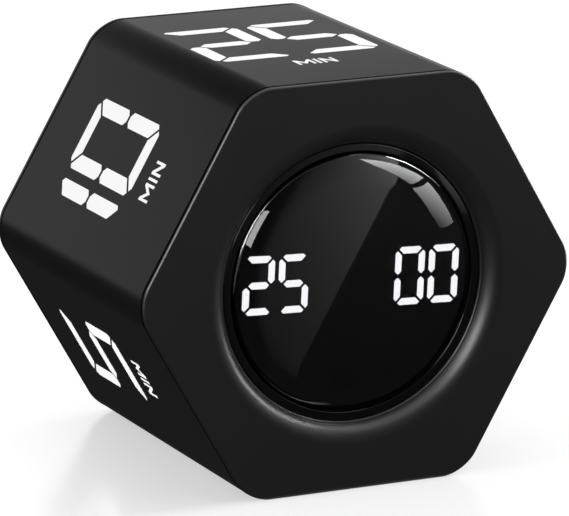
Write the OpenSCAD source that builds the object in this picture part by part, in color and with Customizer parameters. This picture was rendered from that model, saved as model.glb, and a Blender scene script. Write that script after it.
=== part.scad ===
// Six-sided desk timer. The side that is turned upwards sets the countdown,
// and a round window in the front shows the minutes and the seconds left.
// Inside the case modules, x runs right and y up as seen from the front,
// and z runs from the rear face at 0 to the front face.

/* [Case] */
// Height of the case between two opposite sides
across_flats = 59; // [57:0.5:68]
// Length of the case from front to rear
case_depth = 52; // [51:0.5:64]
// Outer radius of the six long corners
corner_radius = 6.2; // [4.5:0.1:8]
// Wall of the hexagonal shell
shell_wall = 2.2; // [1.8:0.1:2.8]
// Part of the front cover that shows beyond the shell
front_rim = 0.6; // [0.5:0.05:1.2]
// Rounding of the front cover's outer edge
front_edge = 0.38; // [0.2:0.02:0.44]
// Part of the rear cover that shows beyond the shell
cover_rim = 1.1; // [1:0.05:1.6]
// Rounding of the rear cover's outer edge
edge_radius = 0.75; // [0.3:0.05:0.9]
// Part of the front cover that plugs into the shell
front_plug = 2.8; // [2.5:0.1:3.5]
// Part of the rear cover that plugs into the shell
rear_plug = 1.5; // [1.4:0.1:2.2]
// Clearance between a cover's plug and the shell
plug_gap = 0.15; // [0.05:0.05:0.25]
// Width of the shadow line between a cover and the shell
seam_width = 0.34; // [0.1:0.02:0.5]
// Depth of the shadow line
seam_depth = 0.9; // [0.4:0.1:1.2]

/* [Window] */
// Diameter of the lens as a share of the case's height
lens_share = 0.6305; // [0.625:0.0005:0.66]
// Thickness of the lens in the middle
lens_t = 1.6; // [1.5:0.1:2.2]
// Width of the margin that falls away around the flat middle of the lens
lens_margin = 4.4; // [2.6:0.1:5]
// Radius of that fall
lens_fall_r = 13; // [11.5:0.5:40]
// Rounding of the lens's edge
lens_edge = 0.6; // [0.2:0.05:0.7]
// How far the lens lies below the front face
lens_recess = 1.3; // [0.8:0.1:2]
// Wall of the ring around the lens
ring_wall = 1.25; // [0.9:0.05:1.6]
// Width of the ring's flange behind the front cover
ring_flange = 1.7; // [1:0.1:1.8]
// Thickness of that flange
ring_flange_t = 0.8; // [0.6:0.1:1.2]
// Clearance on each side of the ring
glass_gap = 0.08; // [0.04:0.02:0.14]
// Radius of the rolled lip of the front cover's opening
lip_radius = 2.9; // [2.4:0.1:3.3]
// How deep that lip reaches into the opening
lip_depth = 1.85; // [1:0.05:1.9]
// Radius of the bead inside that lip
bead_radius = 0.3; // [0.25:0.05:0.5]
// Thickness of the adhesive behind the lens
adhesive_t = 0.12; // [0.1:0.02:0.2]
// Width of the adhesive behind the lens
adhesive_w = 0.8; // [0.5:0.1:0.9]

/* [Display] */
// Height of a lit digit as a share of the lens's radius
digit_share = 0.452; // [0.4:0.001:0.455]
// Width of a lit digit as a share of its height
digit_width_share = 0.552; // [0.48:0.001:0.556]
// Stroke of a lit digit as a share of its height
digit_stroke_share = 0.118; // [0.1:0.001:0.13]
// Distance between the two digits of a pair as a share of their height
digit_pitch_share = 0.627; // [0.605:0.001:0.635]
// Distance from the middle of the window to the middle of a pair, as a share of the lens's radius
pair_share = 0.628; // [0.624:0.001:0.635]
// Cut at a lit digit's outer corners as a share of its height
digit_cut_share = 0.1105; // [0.105:0.001:0.116]
// Gap between two strokes of a lit digit
digit_gap = 0.36; // [0.2:0.02:0.4]
// Angle that the display is turned by in the window, in degrees
display_turn = -2.4; // [-3:0.1:3]
// Height of the display's middle above the middle of the window
display_rise = 0.35; // [0:0.05:0.4]
// Thickness of the display housing
housing_t = 5; // [4:0.1:5.5]
// Thickness of the diffusing windows in the housing
diffuser_t = 0.8; // [0.5:0.1:1.2]
// Thickness of the display board
display_board_t = 1.2; // [1:0.1:1.6]
// Room between the display board's edge and the shell
display_board_room = 2.8; // [2.5:0.1:3.5]

/* [Numerals] */
// Height of the large numerals on the sides
numeral_h = 21.2; // [16:0.1:26]
// Width of a large numeral as a share of a side's flat
numeral_share = 0.413; // [0.34:0.001:0.45]
// Stroke of a large numeral
numeral_stroke = 2.4; // [2:0.05:3]
// Cut at a large numeral's outer corners
numeral_cut = 1.4; // [0.6:0.1:1.6]
// Gap between two strokes of a large numeral
numeral_gap = 0.45; // [0.2:0.05:0.6]
// Half the blunt end of an upright stroke
numeral_tip = 0.5; // [0.3:0.05:0.8]
// Space between two large numerals
numeral_space = 1.6; // [1.2:0.1:2.2]
// Distance from the front face to the middle of the numerals
numeral_setback = 28.5; // [27:0.5:30]
// Height of the unit's letters
unit_h = 2.8; // [2.5:0.1:4]
// Space between the numerals and the unit
unit_space = 3.2; // [1.5:0.1:3.6]
// Width of the top side's numerals as a share of the usual width
top_wide = 1.08; // [0.9:0.01:1.12]
// Distance of the top side's print to the left
top_aside = 0.6; // [0:0.1:0.8]
// Distance of the upper left side's print to the left
upper_aside = 0.3; // [0:0.1:0.8]
// Width of the lower left side's numeral as a share of the usual width
lower_wide = 1.14; // [0.9:0.01:1.2]
// Height of the lower left side's numeral as a share of the usual height
lower_high = 0.93; // [0.9:0.01:1]
// Distance of the lower left side's print to the rear
lower_back = 2.3; // [0:0.1:2.5]
// Depth of the numerals in the shell
inlay_t = 0.25; // [0.15:0.05:0.4]

/* [Boards and power] */
// Height of the pillars that hold the main board
pillar_h = 5.4; // [5.3:0.1:6.4]
// Thickness of the main board
main_board_t = 1.4; // [1:0.1:1.8]
// Room between the main board's edge and the shell
main_board_room = 5.8; // [5.6:0.1:6.2]
// Room between the battery's leads and the display board
cell_room = 2.7; // [1.8:0.1:7]
// Width of the battery cell
cell_width = 22; // [18:0.5:24]
// Thickness of the battery cell
cell_t = 7; // [5.5:0.5:7.5]
// Thickness of the foam pad under the cell
pad_t = 0.8; // [0.5:0.1:1.2]
// Diameter of a battery lead
lead_d = 1.2; // [1:0.1:1.4]
// Diameter of the vibration motor
motor_d = 6; // [5:0.5:7]
// Length of the vibration motor
motor_length = 10; // [9:0.5:11]
// Diameter of the buzzer
buzzer_d = 12; // [10:0.5:12.5]
// Thickness of the foam ring between the buzzer and the rear cover
buzzer_ring_t = 0.8; // [0.5:0.1:1]

/* [Controls] */
// Diameter of the push button
button_d = 8; // [6:0.5:9]
// Travel of the push button
button_travel = 0.4; // [0.2:0.05:0.5]
// Clearance around the push button and the slide knob
control_gap = 0.2; // [0.15:0.05:0.3]
// Length of the slide knob
knob_length = 4.4; // [3.5:0.1:5]
// Width of the slide knob
knob_width = 3; // [2.5:0.1:3.4]
// Travel of the slide knob each way from its middle place
knob_travel = 2; // [1.5:0.1:2.2]
// Width of the charging socket
socket_w = 8.94; // [8.9:0.01:9]
// Height of the charging socket
socket_h = 3.26; // [3.2:0.01:3.3]
// Diameter of the rear cover's screws
screw_d = 2.5; // [2.2:0.1:3]
// Diameter of the boards' screws
board_screw_d = 2; // [1.6:0.1:2.2]
// Radius of a sound hole
sound_hole_r = 0.6; // [0.4:0.05:0.8]

/* [Hidden] */
$fn = 96;
hull_fn = 72;
edge_fn = 32;
// Swell of a corner's arc, so that it crosses the sides and doesn't only touch them
arc_swell = 0.002;
// Clearance of a screw's thread and of a part set in a pocket
thread_gap = 0.03;
// Clearance of a screw in a through hole
screw_gap = 0.15;
// Running clearance of the motor's shaft and the switch's plunger
bearing_gap = 0.05;
// Overshoot of a cut beyond the face that it opens
over = 1;
// Depth to which one form of a piece is sunk into the next
sink = 0.5;

// Lit strokes of the digits 0 to 9, clockwise from the top, the middle one last
STROKES = [
    [1, 1, 1, 1, 1, 1, 0], [0, 1, 1, 0, 0, 0, 0], [1, 1, 0, 1, 1, 0, 1], [1, 1, 1, 1, 0, 0, 1],
    [0, 1, 1, 0, 0, 1, 1], [1, 0, 1, 1, 0, 1, 1], [1, 0, 1, 1, 1, 1, 1], [1, 1, 1, 0, 0, 0, 0],
    [1, 1, 1, 1, 1, 1, 1], [1, 1, 1, 1, 0, 1, 1]
];
// Each side: the direction that it faces as seen from the front, its digits,
// and how far its unit is turned round
TOP_SIDE = [90, [2, 5], 0, [top_wide, 1], [-top_aside, 0]];
UPPER_LEFT_SIDE = [150, [1, 0], 0, [1, 1], [-upper_aside, 0]];
LOWER_LEFT_SIDE = [210, [5], 180, [lower_wide, lower_high], [0, lower_back]];
BOTTOM_SIDE = [270, [3], 0, [1, 1], [0, 0]];
LOWER_RIGHT_SIDE = [330, [6, 0], 0, [1, 1], [0, 0]];
UPPER_RIGHT_SIDE = [30, [4, 5], 0, [1, 1], [0, 0]];
SIDES = [TOP_SIDE, UPPER_LEFT_SIDE, LOWER_LEFT_SIDE, BOTTOM_SIDE, LOWER_RIGHT_SIDE, UPPER_RIGHT_SIDE];
// Digit pairs around the window: the right one shows seconds, the left one minutes.
// The first digit of a pair is the one nearer the middle.
PAIRS = [0, 1, 2, 3, 4, 5];
SECONDS_PAIR = 0;
SECONDS = [0, 0];
MINUTES_PAIR = 3;
MINUTES = [5, 2];

// Case
inner_across = across_flats - 2 * shell_wall;
inner_radius = corner_radius - shell_wall;
inner_apex = (inner_across / 2 - inner_radius) / cos(30) + inner_radius;
front_cover_back = case_depth - front_rim - front_plug;
rear_cover_top = cover_rim + rear_plug;
flat_w = 2 * (across_flats / 2 - corner_radius) * tan(30);
numeral_w = numeral_share * flat_w;
boss_wall = 1.85;
boss_d = screw_d + 2 * boss_wall;
boss_h = 8.4;
boss_hole_h = 7.6;
boss_reach = inner_apex - boss_d / 2 + sink;
BOSS_ANGLES = [60, 120, 240, 300];
screw_head_share = 1.72;
screw_head_d = screw_head_share * screw_d;
screw_head_h = 1.2;
screw_seat = 1.4;
screw_length = 7.6;
counterbore_gap = 0.2;

// Window, from the front inwards
lens_r = lens_share * across_flats / 2;
lens_flat_r = lens_r - lens_margin;
lens_front = case_depth - lens_recess;
lens_back = lens_front - lens_t;
// Middle of the edge's rounding, and where it touches the fall of the lens
lens_round_x = lens_r - lens_edge - lens_flat_r;
lens_round_z = lens_t - lens_fall_r + sqrt((lens_fall_r - lens_edge) ^ 2 - lens_round_x ^ 2);
lens_touch_x = lens_flat_r + lens_fall_r * lens_round_x / (lens_fall_r - lens_edge);
ring_bore = lens_r + glass_gap;
ring_r = ring_bore + ring_wall;
opening_r = ring_r + glass_gap;
lip_width = sqrt(lip_radius * lip_radius - pow(lip_radius - lip_depth, 2));
lip_outer_r = opening_r + bead_radius + lip_width;
ring_top = case_depth - lip_depth - bead_radius;
ring_edge = 0.3;
ring_inner_edge = 0.15;

// Display
digit_h = digit_share * lens_r;
digit_w = digit_width_share * digit_h;
digit_stroke = digit_stroke_share * digit_h;
digit_pitch = digit_pitch_share * digit_h;
digit_cut = digit_cut_share * digit_h;
digit_tip = 0.06;
pair_radius = pair_share * lens_r;
housing_inset = 0.05;
housing_r = lens_r - housing_inset;
housing_front = lens_back - adhesive_t;
housing_back = housing_front - housing_t;
display_back = housing_back - display_board_t;
display_across = inner_across - 2 * display_board_room;
display_corner = 3;
display_boss_wall = 1.5;
display_boss_d = board_screw_d + 2 * display_boss_wall;
display_boss_room = 0.55;
display_screw_reach = ring_r + ring_flange + display_boss_room + display_boss_d / 2;
DISPLAY_SCREW_ANGLES = [60, 180, 300];
led_size = [0.9, 0.5, 0.4];
driver_size = [10, 6, 1.2];
driver_legs = 12;
driver_y = -2;

// Main board
main_back = rear_cover_top + pillar_h;
main_front = main_back + main_board_t;
main_r = inner_across / 2 - main_board_room;
main_screw_inset = 3;
main_screw_reach = main_r - main_screw_inset;
MAIN_SCREW_ANGLES = [30, 150, 270];
pillar_wall = 1.3;
pillar_d = board_screw_d + 2 * pillar_wall;
board_screw_head_share = 1.85;
board_screw_head_d = board_screw_head_share * board_screw_d;
board_screw_head_h = 1.3;
board_screw_length = 5.4;
board_screw_hole_h = 5;

// Places on the main board, counted in from its edge
buzzer_inset = 6.9;
button_inset = 10;
slide_inset = 10.5;
socket_inset = 9.5;
ribbon_inset = 6.5;
motor_inset = 18.5;
controller_inset = 13.5;
charger_inset = 13.5;
capacitor_inset = 8.5;
capacitor_pitch = 2.5;
control_drop = 10.1;
motor_y = 2;
controller_y = 3;
sensor_y = -5.5;
charger_y = -7;
capacitor_y = -5;
buzzer_r = buzzer_d / 2;
buzzer_at = [0, main_r - buzzer_inset - buzzer_r];
button_at = [button_inset - main_r, buzzer_at[1] - control_drop];
slide_at = [main_r - slide_inset, buzzer_at[1] - control_drop];
socket_at = [0, socket_inset - main_r];
ribbon_at = [0, main_r - ribbon_inset];
motor_at = [main_r - motor_inset, motor_y];
controller_at = [controller_inset - main_r, controller_y];
tilt_sensor_at = [0, sensor_y];
charger_at = [main_r - charger_inset, charger_y];
CAPACITORS_AT = concat(
    [for (n = [0:2]) [capacitor_inset + n * capacitor_pitch - main_r, capacitor_y]],
    [[main_r - capacitor_inset, capacitor_y]]
);
controller_size = [7, 5, 1.2];
controller_legs = 10;
sensor_size = [3, 2, 0.9];
sensor_legs = 4;
charger_size = [4, 3, 1];
charger_legs = 4;
capacitor_size = [1.2, 2, 1.1];
leg_size = [0.35, 0.9, 0.25];
chip_stand = 0.1;

// Push button and its switch
button_r = button_d / 2;
button_recess = 0.15;
button_flange_w = 0.9;
button_flange_t = 0.6;
button_rest_gap = 0.1;
button_dish_r = 22;
button_dish = 0.3;
stem_d = 3;
switch_w = 6;
switch_h = 3.4;
switch_front = main_back - switch_h;
plunger_d = 3.4;
plunger_out = 0.75;
plunger_in = 0.8;
plunger_room = 0.2;
plunger_face = switch_front - plunger_out;
button_flange_z = rear_cover_top + button_rest_gap;

// Slide knob and its switch
knob_pocket = [knob_length + 2 * knob_travel + 4.4, knob_width + 2.4];
knob_pocket_depth = 0.9;
knob_slot = [knob_length + 2 * knob_travel + 2 * control_gap, knob_width + 2 * control_gap];
knob_recess = 0.15;
knob_flange_t = 0.7;
knob_flange = [knob_slot[0] + 2 * knob_travel, knob_slot[1] + 1.4];
knob_flange_z = rear_cover_top + button_rest_gap;
knob_groove = 0.5;
knob_groove_depth = 0.35;
slide_body = [8.6, 3.8, 3.4];
slide_front = main_back - slide_body[2];
lever_w = 1.6;
lever_in = 0.9;
lever_grip = 0.55;
lever_room = 0.25;

// Charging socket
socket_wall = 0.3;
socket_recess = 0.6;
socket_floor = 1;
socket_gap = 0.2;
tongue = [6.6, 0.7];
tongue_recess = 0.9;

// Sound outlet
sound_ring_r = 2.5;
sound_ring_count = 6;
buzzer_top = rear_cover_top + buzzer_ring_t;
buzzer_hole_r = 1;
buzzer_hole_depth = 0.8;
buzzer_ring_w = 1.1;

// Battery on the floor of the shell
floor_y = -inner_across / 2;
cell_y = floor_y + pad_t;
cell_top = cell_y + cell_t;
boss_room = 1;
cell_z = rear_cover_top + boss_h + boss_room;
cell_round = 2;
pad_margin = 1;
lead_r = lead_d / 2;
lead_rise = 0.1;
lead_bend = 2;
lead_stub = 0.5;
cell_length = display_back - cell_room - lead_r - lead_bend - lead_stub - cell_z;
cell_front = cell_z + cell_length;
lead_y = cell_top + lead_r + lead_rise;
lead_spread = 3;

// Ribbon between the two boards
ribbon_socket = [12, 3.2, 2.2];
ribbon_w = 10;
ribbon_t = 0.25;
ribbon_in = 1.2;

// Vibration motor
motor_r = motor_d / 2;
motor_lift = 0.6;
motor_z = main_front + motor_lift + motor_r;
holder_side = 0.9;
holder_inset = 1;
holder_rise = 1;
shaft_r = 0.5;
shaft_in = 3;
weight_gap = 0.6;
weight_t = 3.6;
weight_inset = 0.3;
weight_r = motor_r - weight_inset;
weight_hub_r = 1.2;

// Stands the case on its bottom side, centred over the origin, front towards -Y
module upright() {
    translate([0, case_depth / 2, across_flats / 2]) rotate([90, 0, 0]) children();
}

// Puts flat work on a side: x along the reading direction, y to the rear, z outwards
module on_side(angle) {
    rotate([0, 0, angle - 90])
        translate([0, across_flats / 2, case_depth - numeral_setback]) rotate([-90, 0, 0]) children();
}

// Repeats a part at a distance from the axis, at each of some angles
module around(angles, reach) {
    for (a = angles) rotate([0, 0, a]) translate([reach, 0, 0]) children();
}

// Hexagon with rounded corners, two of them on the x axis
module hexagon(across, r) {
    reach = (across / 2 - r) / cos(30);
    polygon([for (a = [0:60:300]) for (side = [-30, 30])
        [reach * cos(a) + r * cos(a + side), reach * sin(a) + r * sin(a + side)]]);
    for (a = [0:60:300]) rotate(a) translate([reach, 0]) circle(r + arc_swell);
}

// Rectangle with rounded corners about the origin
module rounded_rectangle(size, r) {
    square([size[0] - 2 * r, size[1]], center = true);
    square([size[0], size[1] - 2 * r], center = true);
    for (x = [-1, 1]) for (y = [-1, 1])
        translate([x * (size[0] / 2 - r), y * (size[1] / 2 - r)]) circle(r);
}

// Slot with round ends about the origin
module slot(length, width) {
    square([length - width, width], center = true);
    for (x = [-1, 1]) translate([x * (length - width) / 2, 0]) circle(d = width);
}

// Section of a disc from the axis outwards, with its upper edge rounded
module disc_section(r, t, edge) {
    square([r - edge, t]);
    square([r, t - edge]);
    intersection() {
        translate([r - edge, t - edge]) circle(edge, $fn = edge_fn);
        square([r, t]);
    }
}

// Hexagonal plate with its upper edge rounded
module edged_plate(across, r, t, edge) {
    reach = (across / 2 - r) / cos(30);
    hull() for (a = [0:60:300]) rotate([0, 0, a]) translate([reach, 0, 0])
        rotate_extrude($fn = hull_fn) disc_section(r, t, edge);
}

// Top stroke of a digit that is centred on the origin
module top_stroke(w, h, s, cut, gap) {
    m = gap / sqrt(2);
    half = [[w / 2 - cut, h / 2], [w / 2 - (cut + m) / 2, h / 2 - (cut - m) / 2], [w / 2 - s - m, h / 2 - s]];
    polygon(concat(half, [for (i = [2:-1:0]) [-half[i][0], half[i][1]]]));
}

// Upper right stroke of the same digit
module side_stroke(w, h, s, cut, tip, gap) {
    m = gap / sqrt(2);
    shoulder = m + s / 2 - tip;
    polygon([
        [w / 2 - (cut - m) / 2, h / 2 - (cut + m) / 2], [w / 2, h / 2 - cut], [w / 2, shoulder],
        [w / 2 - s / 2 + tip, m], [w / 2 - s / 2 - tip, m],
        [w / 2 - s, shoulder], [w / 2 - s, h / 2 - s - m]
    ]);
}

// Middle stroke of the same digit
module middle_stroke(w, s, tip, gap) {
    m = gap / sqrt(2);
    end = w / 2 - s / 2 - tip - m;
    flat = end - s / 2;
    polygon([[end, 0], [flat, s / 2], [-flat, s / 2], [-end, 0], [-flat, -s / 2], [flat, -s / 2]]);
}

// One stroke of a digit, counted as in STROKES
module stroke(i, w, h, s, cut, tip, gap) {
    across = i == 4 || i == 5 ? -1 : 1;
    up = i == 2 || i == 3 || i == 4 ? -1 : 1;
    mirror([across < 0 ? 1 : 0, 0]) mirror([0, up < 0 ? 1 : 0]) {
        if (i == 0 || i == 3) top_stroke(w, h, s, cut, gap);
        else if (i == 6) middle_stroke(w, s, tip, gap);
        else side_stroke(w, h, s, cut, tip, gap);
    }
}

// Large numerals and their unit

// A narrow digit takes only its stroke's width
function numeral_width(digit, w) = digit == 1 ? numeral_stroke : w;
function row_width(digits, w, i = 0) = i >= len(digits) ? 0
    : numeral_width(digits[i], w) + (i > 0 ? numeral_space : 0) + row_width(digits, w, i + 1);
function row_start(digits, w, i) = i == 0 ? -row_width(digits, w) / 2
    : row_start(digits, w, i - 1) + numeral_width(digits[i - 1], w) + numeral_space;

// Row of numerals, each w wide and h high
module numeral_row(digits, w, h) {
    for (n = [0:len(digits) - 1]) {
        right = row_start(digits, w, n) + numeral_width(digits[n], w);
        translate([right - w / 2, 0]) for (i = [0:6]) if (STROKES[digits[n]][i] == 1)
            stroke(i, w, h, numeral_stroke, numeral_cut, numeral_tip, numeral_gap);
    }
}

// The letters M, I and N for minutes, centred on the origin
module unit_word() {
    h = unit_h;
    s = 0.15 * h;
    m_w = 0.94 * h;
    n_w = 0.74 * h;
    gap = 0.17 * h;
    slope = 0.36 * h;
    fall = 0.52 * h;
    left = -(m_w + gap + s + gap + n_w) / 2;
    translate([left, -h / 2]) polygon([
        [0, 0], [0, h], [s, h], [m_w / 2, h - fall], [m_w - s, h], [m_w, h], [m_w, 0], [m_w - s, 0],
        [m_w - s, h - slope], [m_w / 2, h - fall - slope], [s, h - slope], [s, 0]
    ]);
    translate([left + m_w + gap, -h / 2]) square([s, h]);
    translate([left + m_w + gap + s + gap, -h / 2]) polygon([
        [0, 0], [0, h], [s, h], [n_w - s, slope], [n_w - s, h], [n_w, h], [n_w, 0], [n_w - s, 0],
        [s, h - slope], [s, 0]
    ]);
}

// Numerals of a side and the unit below them
module side_print(side) {
    w = side[3][0] * numeral_w;
    h = side[3][1] * numeral_h;
    translate(side[4]) {
        numeral_row(side[1], w, h);
        translate([0, -(h + unit_h) / 2 - unit_space]) rotate(side[2]) unit_word();
    }
}

module numerals(side) {
    color("white") upright() on_side(side[0])
        translate([0, 0, -inlay_t]) linear_extrude(inlay_t) side_print(side);
}

// Case

module shell_bosses() {
    around(BOSS_ANGLES, boss_reach) translate([0, 0, rear_cover_top]) cylinder(d = boss_d, h = boss_h);
}

module seam_cut(z) {
    translate([0, 0, z]) linear_extrude(seam_width) difference() {
        hexagon(across_flats + 2 * over, corner_radius + over);
        hexagon(across_flats - 2 * seam_depth, corner_radius - seam_depth);
    }
}

module hex_shell() {
    color("#2b2b2d") upright() difference() {
        union() {
            translate([0, 0, cover_rim]) linear_extrude(case_depth - cover_rim - front_rim) difference() {
                hexagon(across_flats, corner_radius);
                hexagon(inner_across, inner_radius);
            }
            intersection() {
                shell_bosses();
                linear_extrude(case_depth) hexagon(across_flats - shell_wall, corner_radius - shell_wall / 2);
            }
        }
        seam_cut(cover_rim);
        seam_cut(case_depth - front_rim - seam_width);
        around(BOSS_ANGLES, boss_reach) translate([0, 0, rear_cover_top - over])
            cylinder(d = screw_d + 2 * thread_gap, h = boss_hole_h + over);
        for (side = SIDES) on_side(side[0]) translate([0, 0, -inlay_t])
            linear_extrude(inlay_t + over) side_print(side);
    }
}

// The opening: a rolled lip with a bead inside it
module opening_section() {
    difference() {
        union() {
            square([opening_r, case_depth]);
            translate([0, ring_top]) square([opening_r + bead_radius, bead_radius]);
            translate([0, case_depth - lip_depth]) square([lip_outer_r, lip_depth + over]);
        }
        translate([lip_outer_r, case_depth - lip_radius]) circle(lip_radius);
        translate([opening_r + bead_radius, ring_top]) circle(bead_radius, $fn = edge_fn);
    }
}

module front_cover() {
    color("#2a2a2c") upright() difference() {
        union() {
            translate([0, 0, case_depth - front_rim])
                edged_plate(across_flats, corner_radius, front_rim, front_edge);
            translate([0, 0, front_cover_back]) linear_extrude(front_plug + sink)
                hexagon(inner_across - 2 * plug_gap, inner_radius - plug_gap);
            around(DISPLAY_SCREW_ANGLES, display_screw_reach) translate([0, 0, housing_back])
                cylinder(d = display_boss_d, h = front_cover_back - housing_back + sink);
        }
        rotate_extrude() opening_section();
        around(DISPLAY_SCREW_ANGLES, display_screw_reach) translate([0, 0, housing_back - over])
            cylinder(d = board_screw_d + 2 * thread_gap, h = board_screw_hole_h + over);
    }
}

module rear_openings() {
    around(BOSS_ANGLES, boss_reach) {
        translate([0, 0, -over]) cylinder(d = screw_d + 2 * screw_gap, h = rear_cover_top + 2 * over);
        translate([0, 0, -over]) cylinder(d = screw_head_d + 2 * counterbore_gap, h = screw_seat + over);
    }
    translate([button_at[0], button_at[1], -over])
        cylinder(d = button_d + 2 * control_gap, h = rear_cover_top + 2 * over);
    translate([slide_at[0], slide_at[1], -over]) {
        linear_extrude(rear_cover_top + 2 * over) square(knob_slot, center = true);
        linear_extrude(knob_pocket_depth + over) slot(knob_pocket[0], knob_pocket[1]);
    }
    translate([socket_at[0], socket_at[1], -over]) linear_extrude(rear_cover_top + 2 * over)
        slot(socket_w + 2 * socket_gap, socket_h + 2 * socket_gap);
    translate([buzzer_at[0], buzzer_at[1], -over]) {
        cylinder(r = sound_hole_r, h = rear_cover_top + 2 * over);
        around([for (i = [0:sound_ring_count - 1]) i * 360 / sound_ring_count], sound_ring_r)
            cylinder(r = sound_hole_r, h = rear_cover_top + 2 * over);
    }
}

module rear_cover() {
    color("#2a2a2c") upright() difference() {
        union() {
            translate([0, 0, cover_rim]) mirror([0, 0, 1])
                edged_plate(across_flats, corner_radius, cover_rim, edge_radius);
            translate([0, 0, cover_rim - sink]) linear_extrude(rear_plug + sink)
                hexagon(inner_across - 2 * plug_gap, inner_radius - plug_gap);
            around(MAIN_SCREW_ANGLES, main_screw_reach) translate([0, 0, rear_cover_top - sink])
                cylinder(d = pillar_d, h = pillar_h + sink);
        }
        rear_openings();
        around(MAIN_SCREW_ANGLES, main_screw_reach) translate([0, 0, main_back - board_screw_hole_h])
            cylinder(d = board_screw_d + 2 * thread_gap, h = board_screw_hole_h + over);
    }
}

// Screw along z with its head's seat at 0, its shank upwards and a cross in its head
module screw(d, length, head_d, head_h) {
    difference() {
        union() {
            cylinder(d = d, h = length);
            translate([0, 0, -head_h]) cylinder(d = head_d, h = head_h);
        }
        for (a = [0, 90]) rotate([0, 0, a]) translate([0, 0, -head_h])
            cube([0.6 * head_d, 0.16 * head_d, 0.9 * head_h], center = true);
    }
}

module cover_screws() {
    color("silver") upright() around(BOSS_ANGLES, boss_reach) translate([0, 0, screw_seat])
        screw(screw_d, screw_length, screw_head_d, screw_head_h);
}

// Window

// Half section of the lens: flat in the middle, falling away to a rounded edge
module lens_section() {
    intersection() {
        square([lens_touch_x, lens_t]);
        union() {
            square([lens_flat_r, lens_t]);
            translate([lens_flat_r, lens_t - lens_fall_r]) circle(lens_fall_r);
        }
    }
    square([lens_r, lens_round_z]);
    intersection() {
        translate([lens_r - lens_edge, lens_round_z]) circle(lens_edge, $fn = edge_fn);
        square([lens_r, lens_t]);
    }
}

module lens() {
    color("#0c0d10") upright() translate([0, 0, lens_back]) rotate_extrude() lens_section();
}

module lens_ring() {
    color("#0a0a0b") upright() rotate_extrude() {
        difference() {
            translate([ring_bore, front_cover_back - ring_flange_t])
                square([ring_wall, ring_top - front_cover_back + ring_flange_t]);
            translate([ring_r, ring_top]) rotate(45) square(ring_edge * sqrt(2), center = true);
            translate([ring_bore, ring_top]) rotate(45) square(ring_inner_edge * sqrt(2), center = true);
        }
        translate([ring_bore, front_cover_back - ring_flange_t])
            square([ring_wall + ring_flange, ring_flange_t]);
    }
}

module lens_adhesive() {
    color("#202020") upright() translate([0, 0, housing_front]) linear_extrude(adhesive_t) difference() {
        circle(housing_r);
        circle(housing_r - adhesive_w);
    }
}

// Display

// Puts flat work where digit n of a pair is, n = 0 being nearer the middle
module at_digit(pair, n) {
    translate([0, display_rise]) rotate(60 * pair + display_turn)
        translate([pair_radius + (n - 0.5) * digit_pitch, 0]) children();
}

module digit_stroke_shape(i) {
    stroke(i, digit_w, digit_h, digit_stroke, digit_cut, digit_tip, digit_gap);
}

// Strokes of one pair that are lit by its two digits
module lit_pair(pair, digits) {
    for (n = [0, 1]) for (i = [0:6]) if (STROKES[digits[n]][i] == 1) at_digit(pair, n) digit_stroke_shape(i);
}

// Strokes of one pair that its two digits leave dark
module dark_pair(pair, digits) {
    for (n = [0, 1]) for (i = [0:6]) if (STROKES[digits[n]][i] == 0) at_digit(pair, n) digit_stroke_shape(i);
}

module whole_pair(pair) {
    for (n = [0, 1]) for (i = [0:6]) at_digit(pair, n) digit_stroke_shape(i);
}

module display_housing() {
    color("#151515") upright() translate([0, 0, housing_back]) linear_extrude(housing_t) difference() {
        circle(housing_r);
        for (pair = PAIRS) whole_pair(pair);
    }
}

module diffusers() {
    upright() translate([0, 0, housing_front - diffuser_t]) linear_extrude(diffuser_t) children();
}

module segments_minutes() {
    color("white") diffusers() lit_pair(MINUTES_PAIR, MINUTES);
}

module segments_seconds() {
    color("white") diffusers() lit_pair(SECONDS_PAIR, SECONDS);
}

module segments_unlit() {
    color("#3a3a3a") diffusers() {
        dark_pair(MINUTES_PAIR, MINUTES);
        dark_pair(SECONDS_PAIR, SECONDS);
        for (pair = PAIRS) if (pair != MINUTES_PAIR && pair != SECONDS_PAIR) whole_pair(pair);
    }
}

// Middle of a stroke, counted as in STROKES
function stroke_middle(i) = let (x = (digit_w - digit_stroke) / 2, y = (digit_h - digit_stroke) / 2)
    i == 0 ? [0, y] : i == 3 ? [0, -y] : i == 6 ? [0, 0]
    : [i < 3 ? x : -x, i == 1 || i == 5 ? digit_h / 4 : -digit_h / 4];

module segment_leds() {
    color("#e8d97a") upright() translate([0, 0, housing_back])
        for (pair = PAIRS) for (n = [0, 1]) at_digit(pair, n) for (i = [0:6])
            translate(concat(stroke_middle(i), [led_size[2] / 2]))
                rotate([0, 0, i % 3 == 0 ? 0 : 90]) cube(led_size, center = true);
}

module display_board() {
    color("#0d3d22") upright() translate([0, 0, display_back]) linear_extrude(display_board_t) difference() {
        hexagon(display_across, display_corner);
        around(DISPLAY_SCREW_ANGLES, display_screw_reach) circle(d = board_screw_d + 2 * screw_gap);
    }
}

module display_screws() {
    color("silver") upright() around(DISPLAY_SCREW_ANGLES, display_screw_reach)
        translate([0, 0, display_back])
            screw(board_screw_d, board_screw_length, board_screw_head_d, board_screw_head_h);
}

// Chip on the plane z = 0 with legs along two of its sides
module chip(size, legs) {
    translate([-size[0] / 2, -size[1] / 2, chip_stand]) cube(size);
    for (n = [0:legs - 1]) for (side = [-1, 1])
        translate([(n - (legs - 1) / 2) * size[0] / legs, side * (size[1] + leg_size[1]) / 2, leg_size[2] / 2])
            cube(leg_size, center = true);
    for (side = [-1, 1]) translate([0, side * (size[1] / 2 - leg_size[2]), (chip_stand + leg_size[2]) / 2])
        cube([size[0] - leg_size[0], 2 * leg_size[2], chip_stand + leg_size[2]], center = true);
}

module display_driver() {
    color("#1a1a1a") upright() translate([0, driver_y, display_back]) mirror([0, 0, 1])
        chip(driver_size, driver_legs);
}

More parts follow.
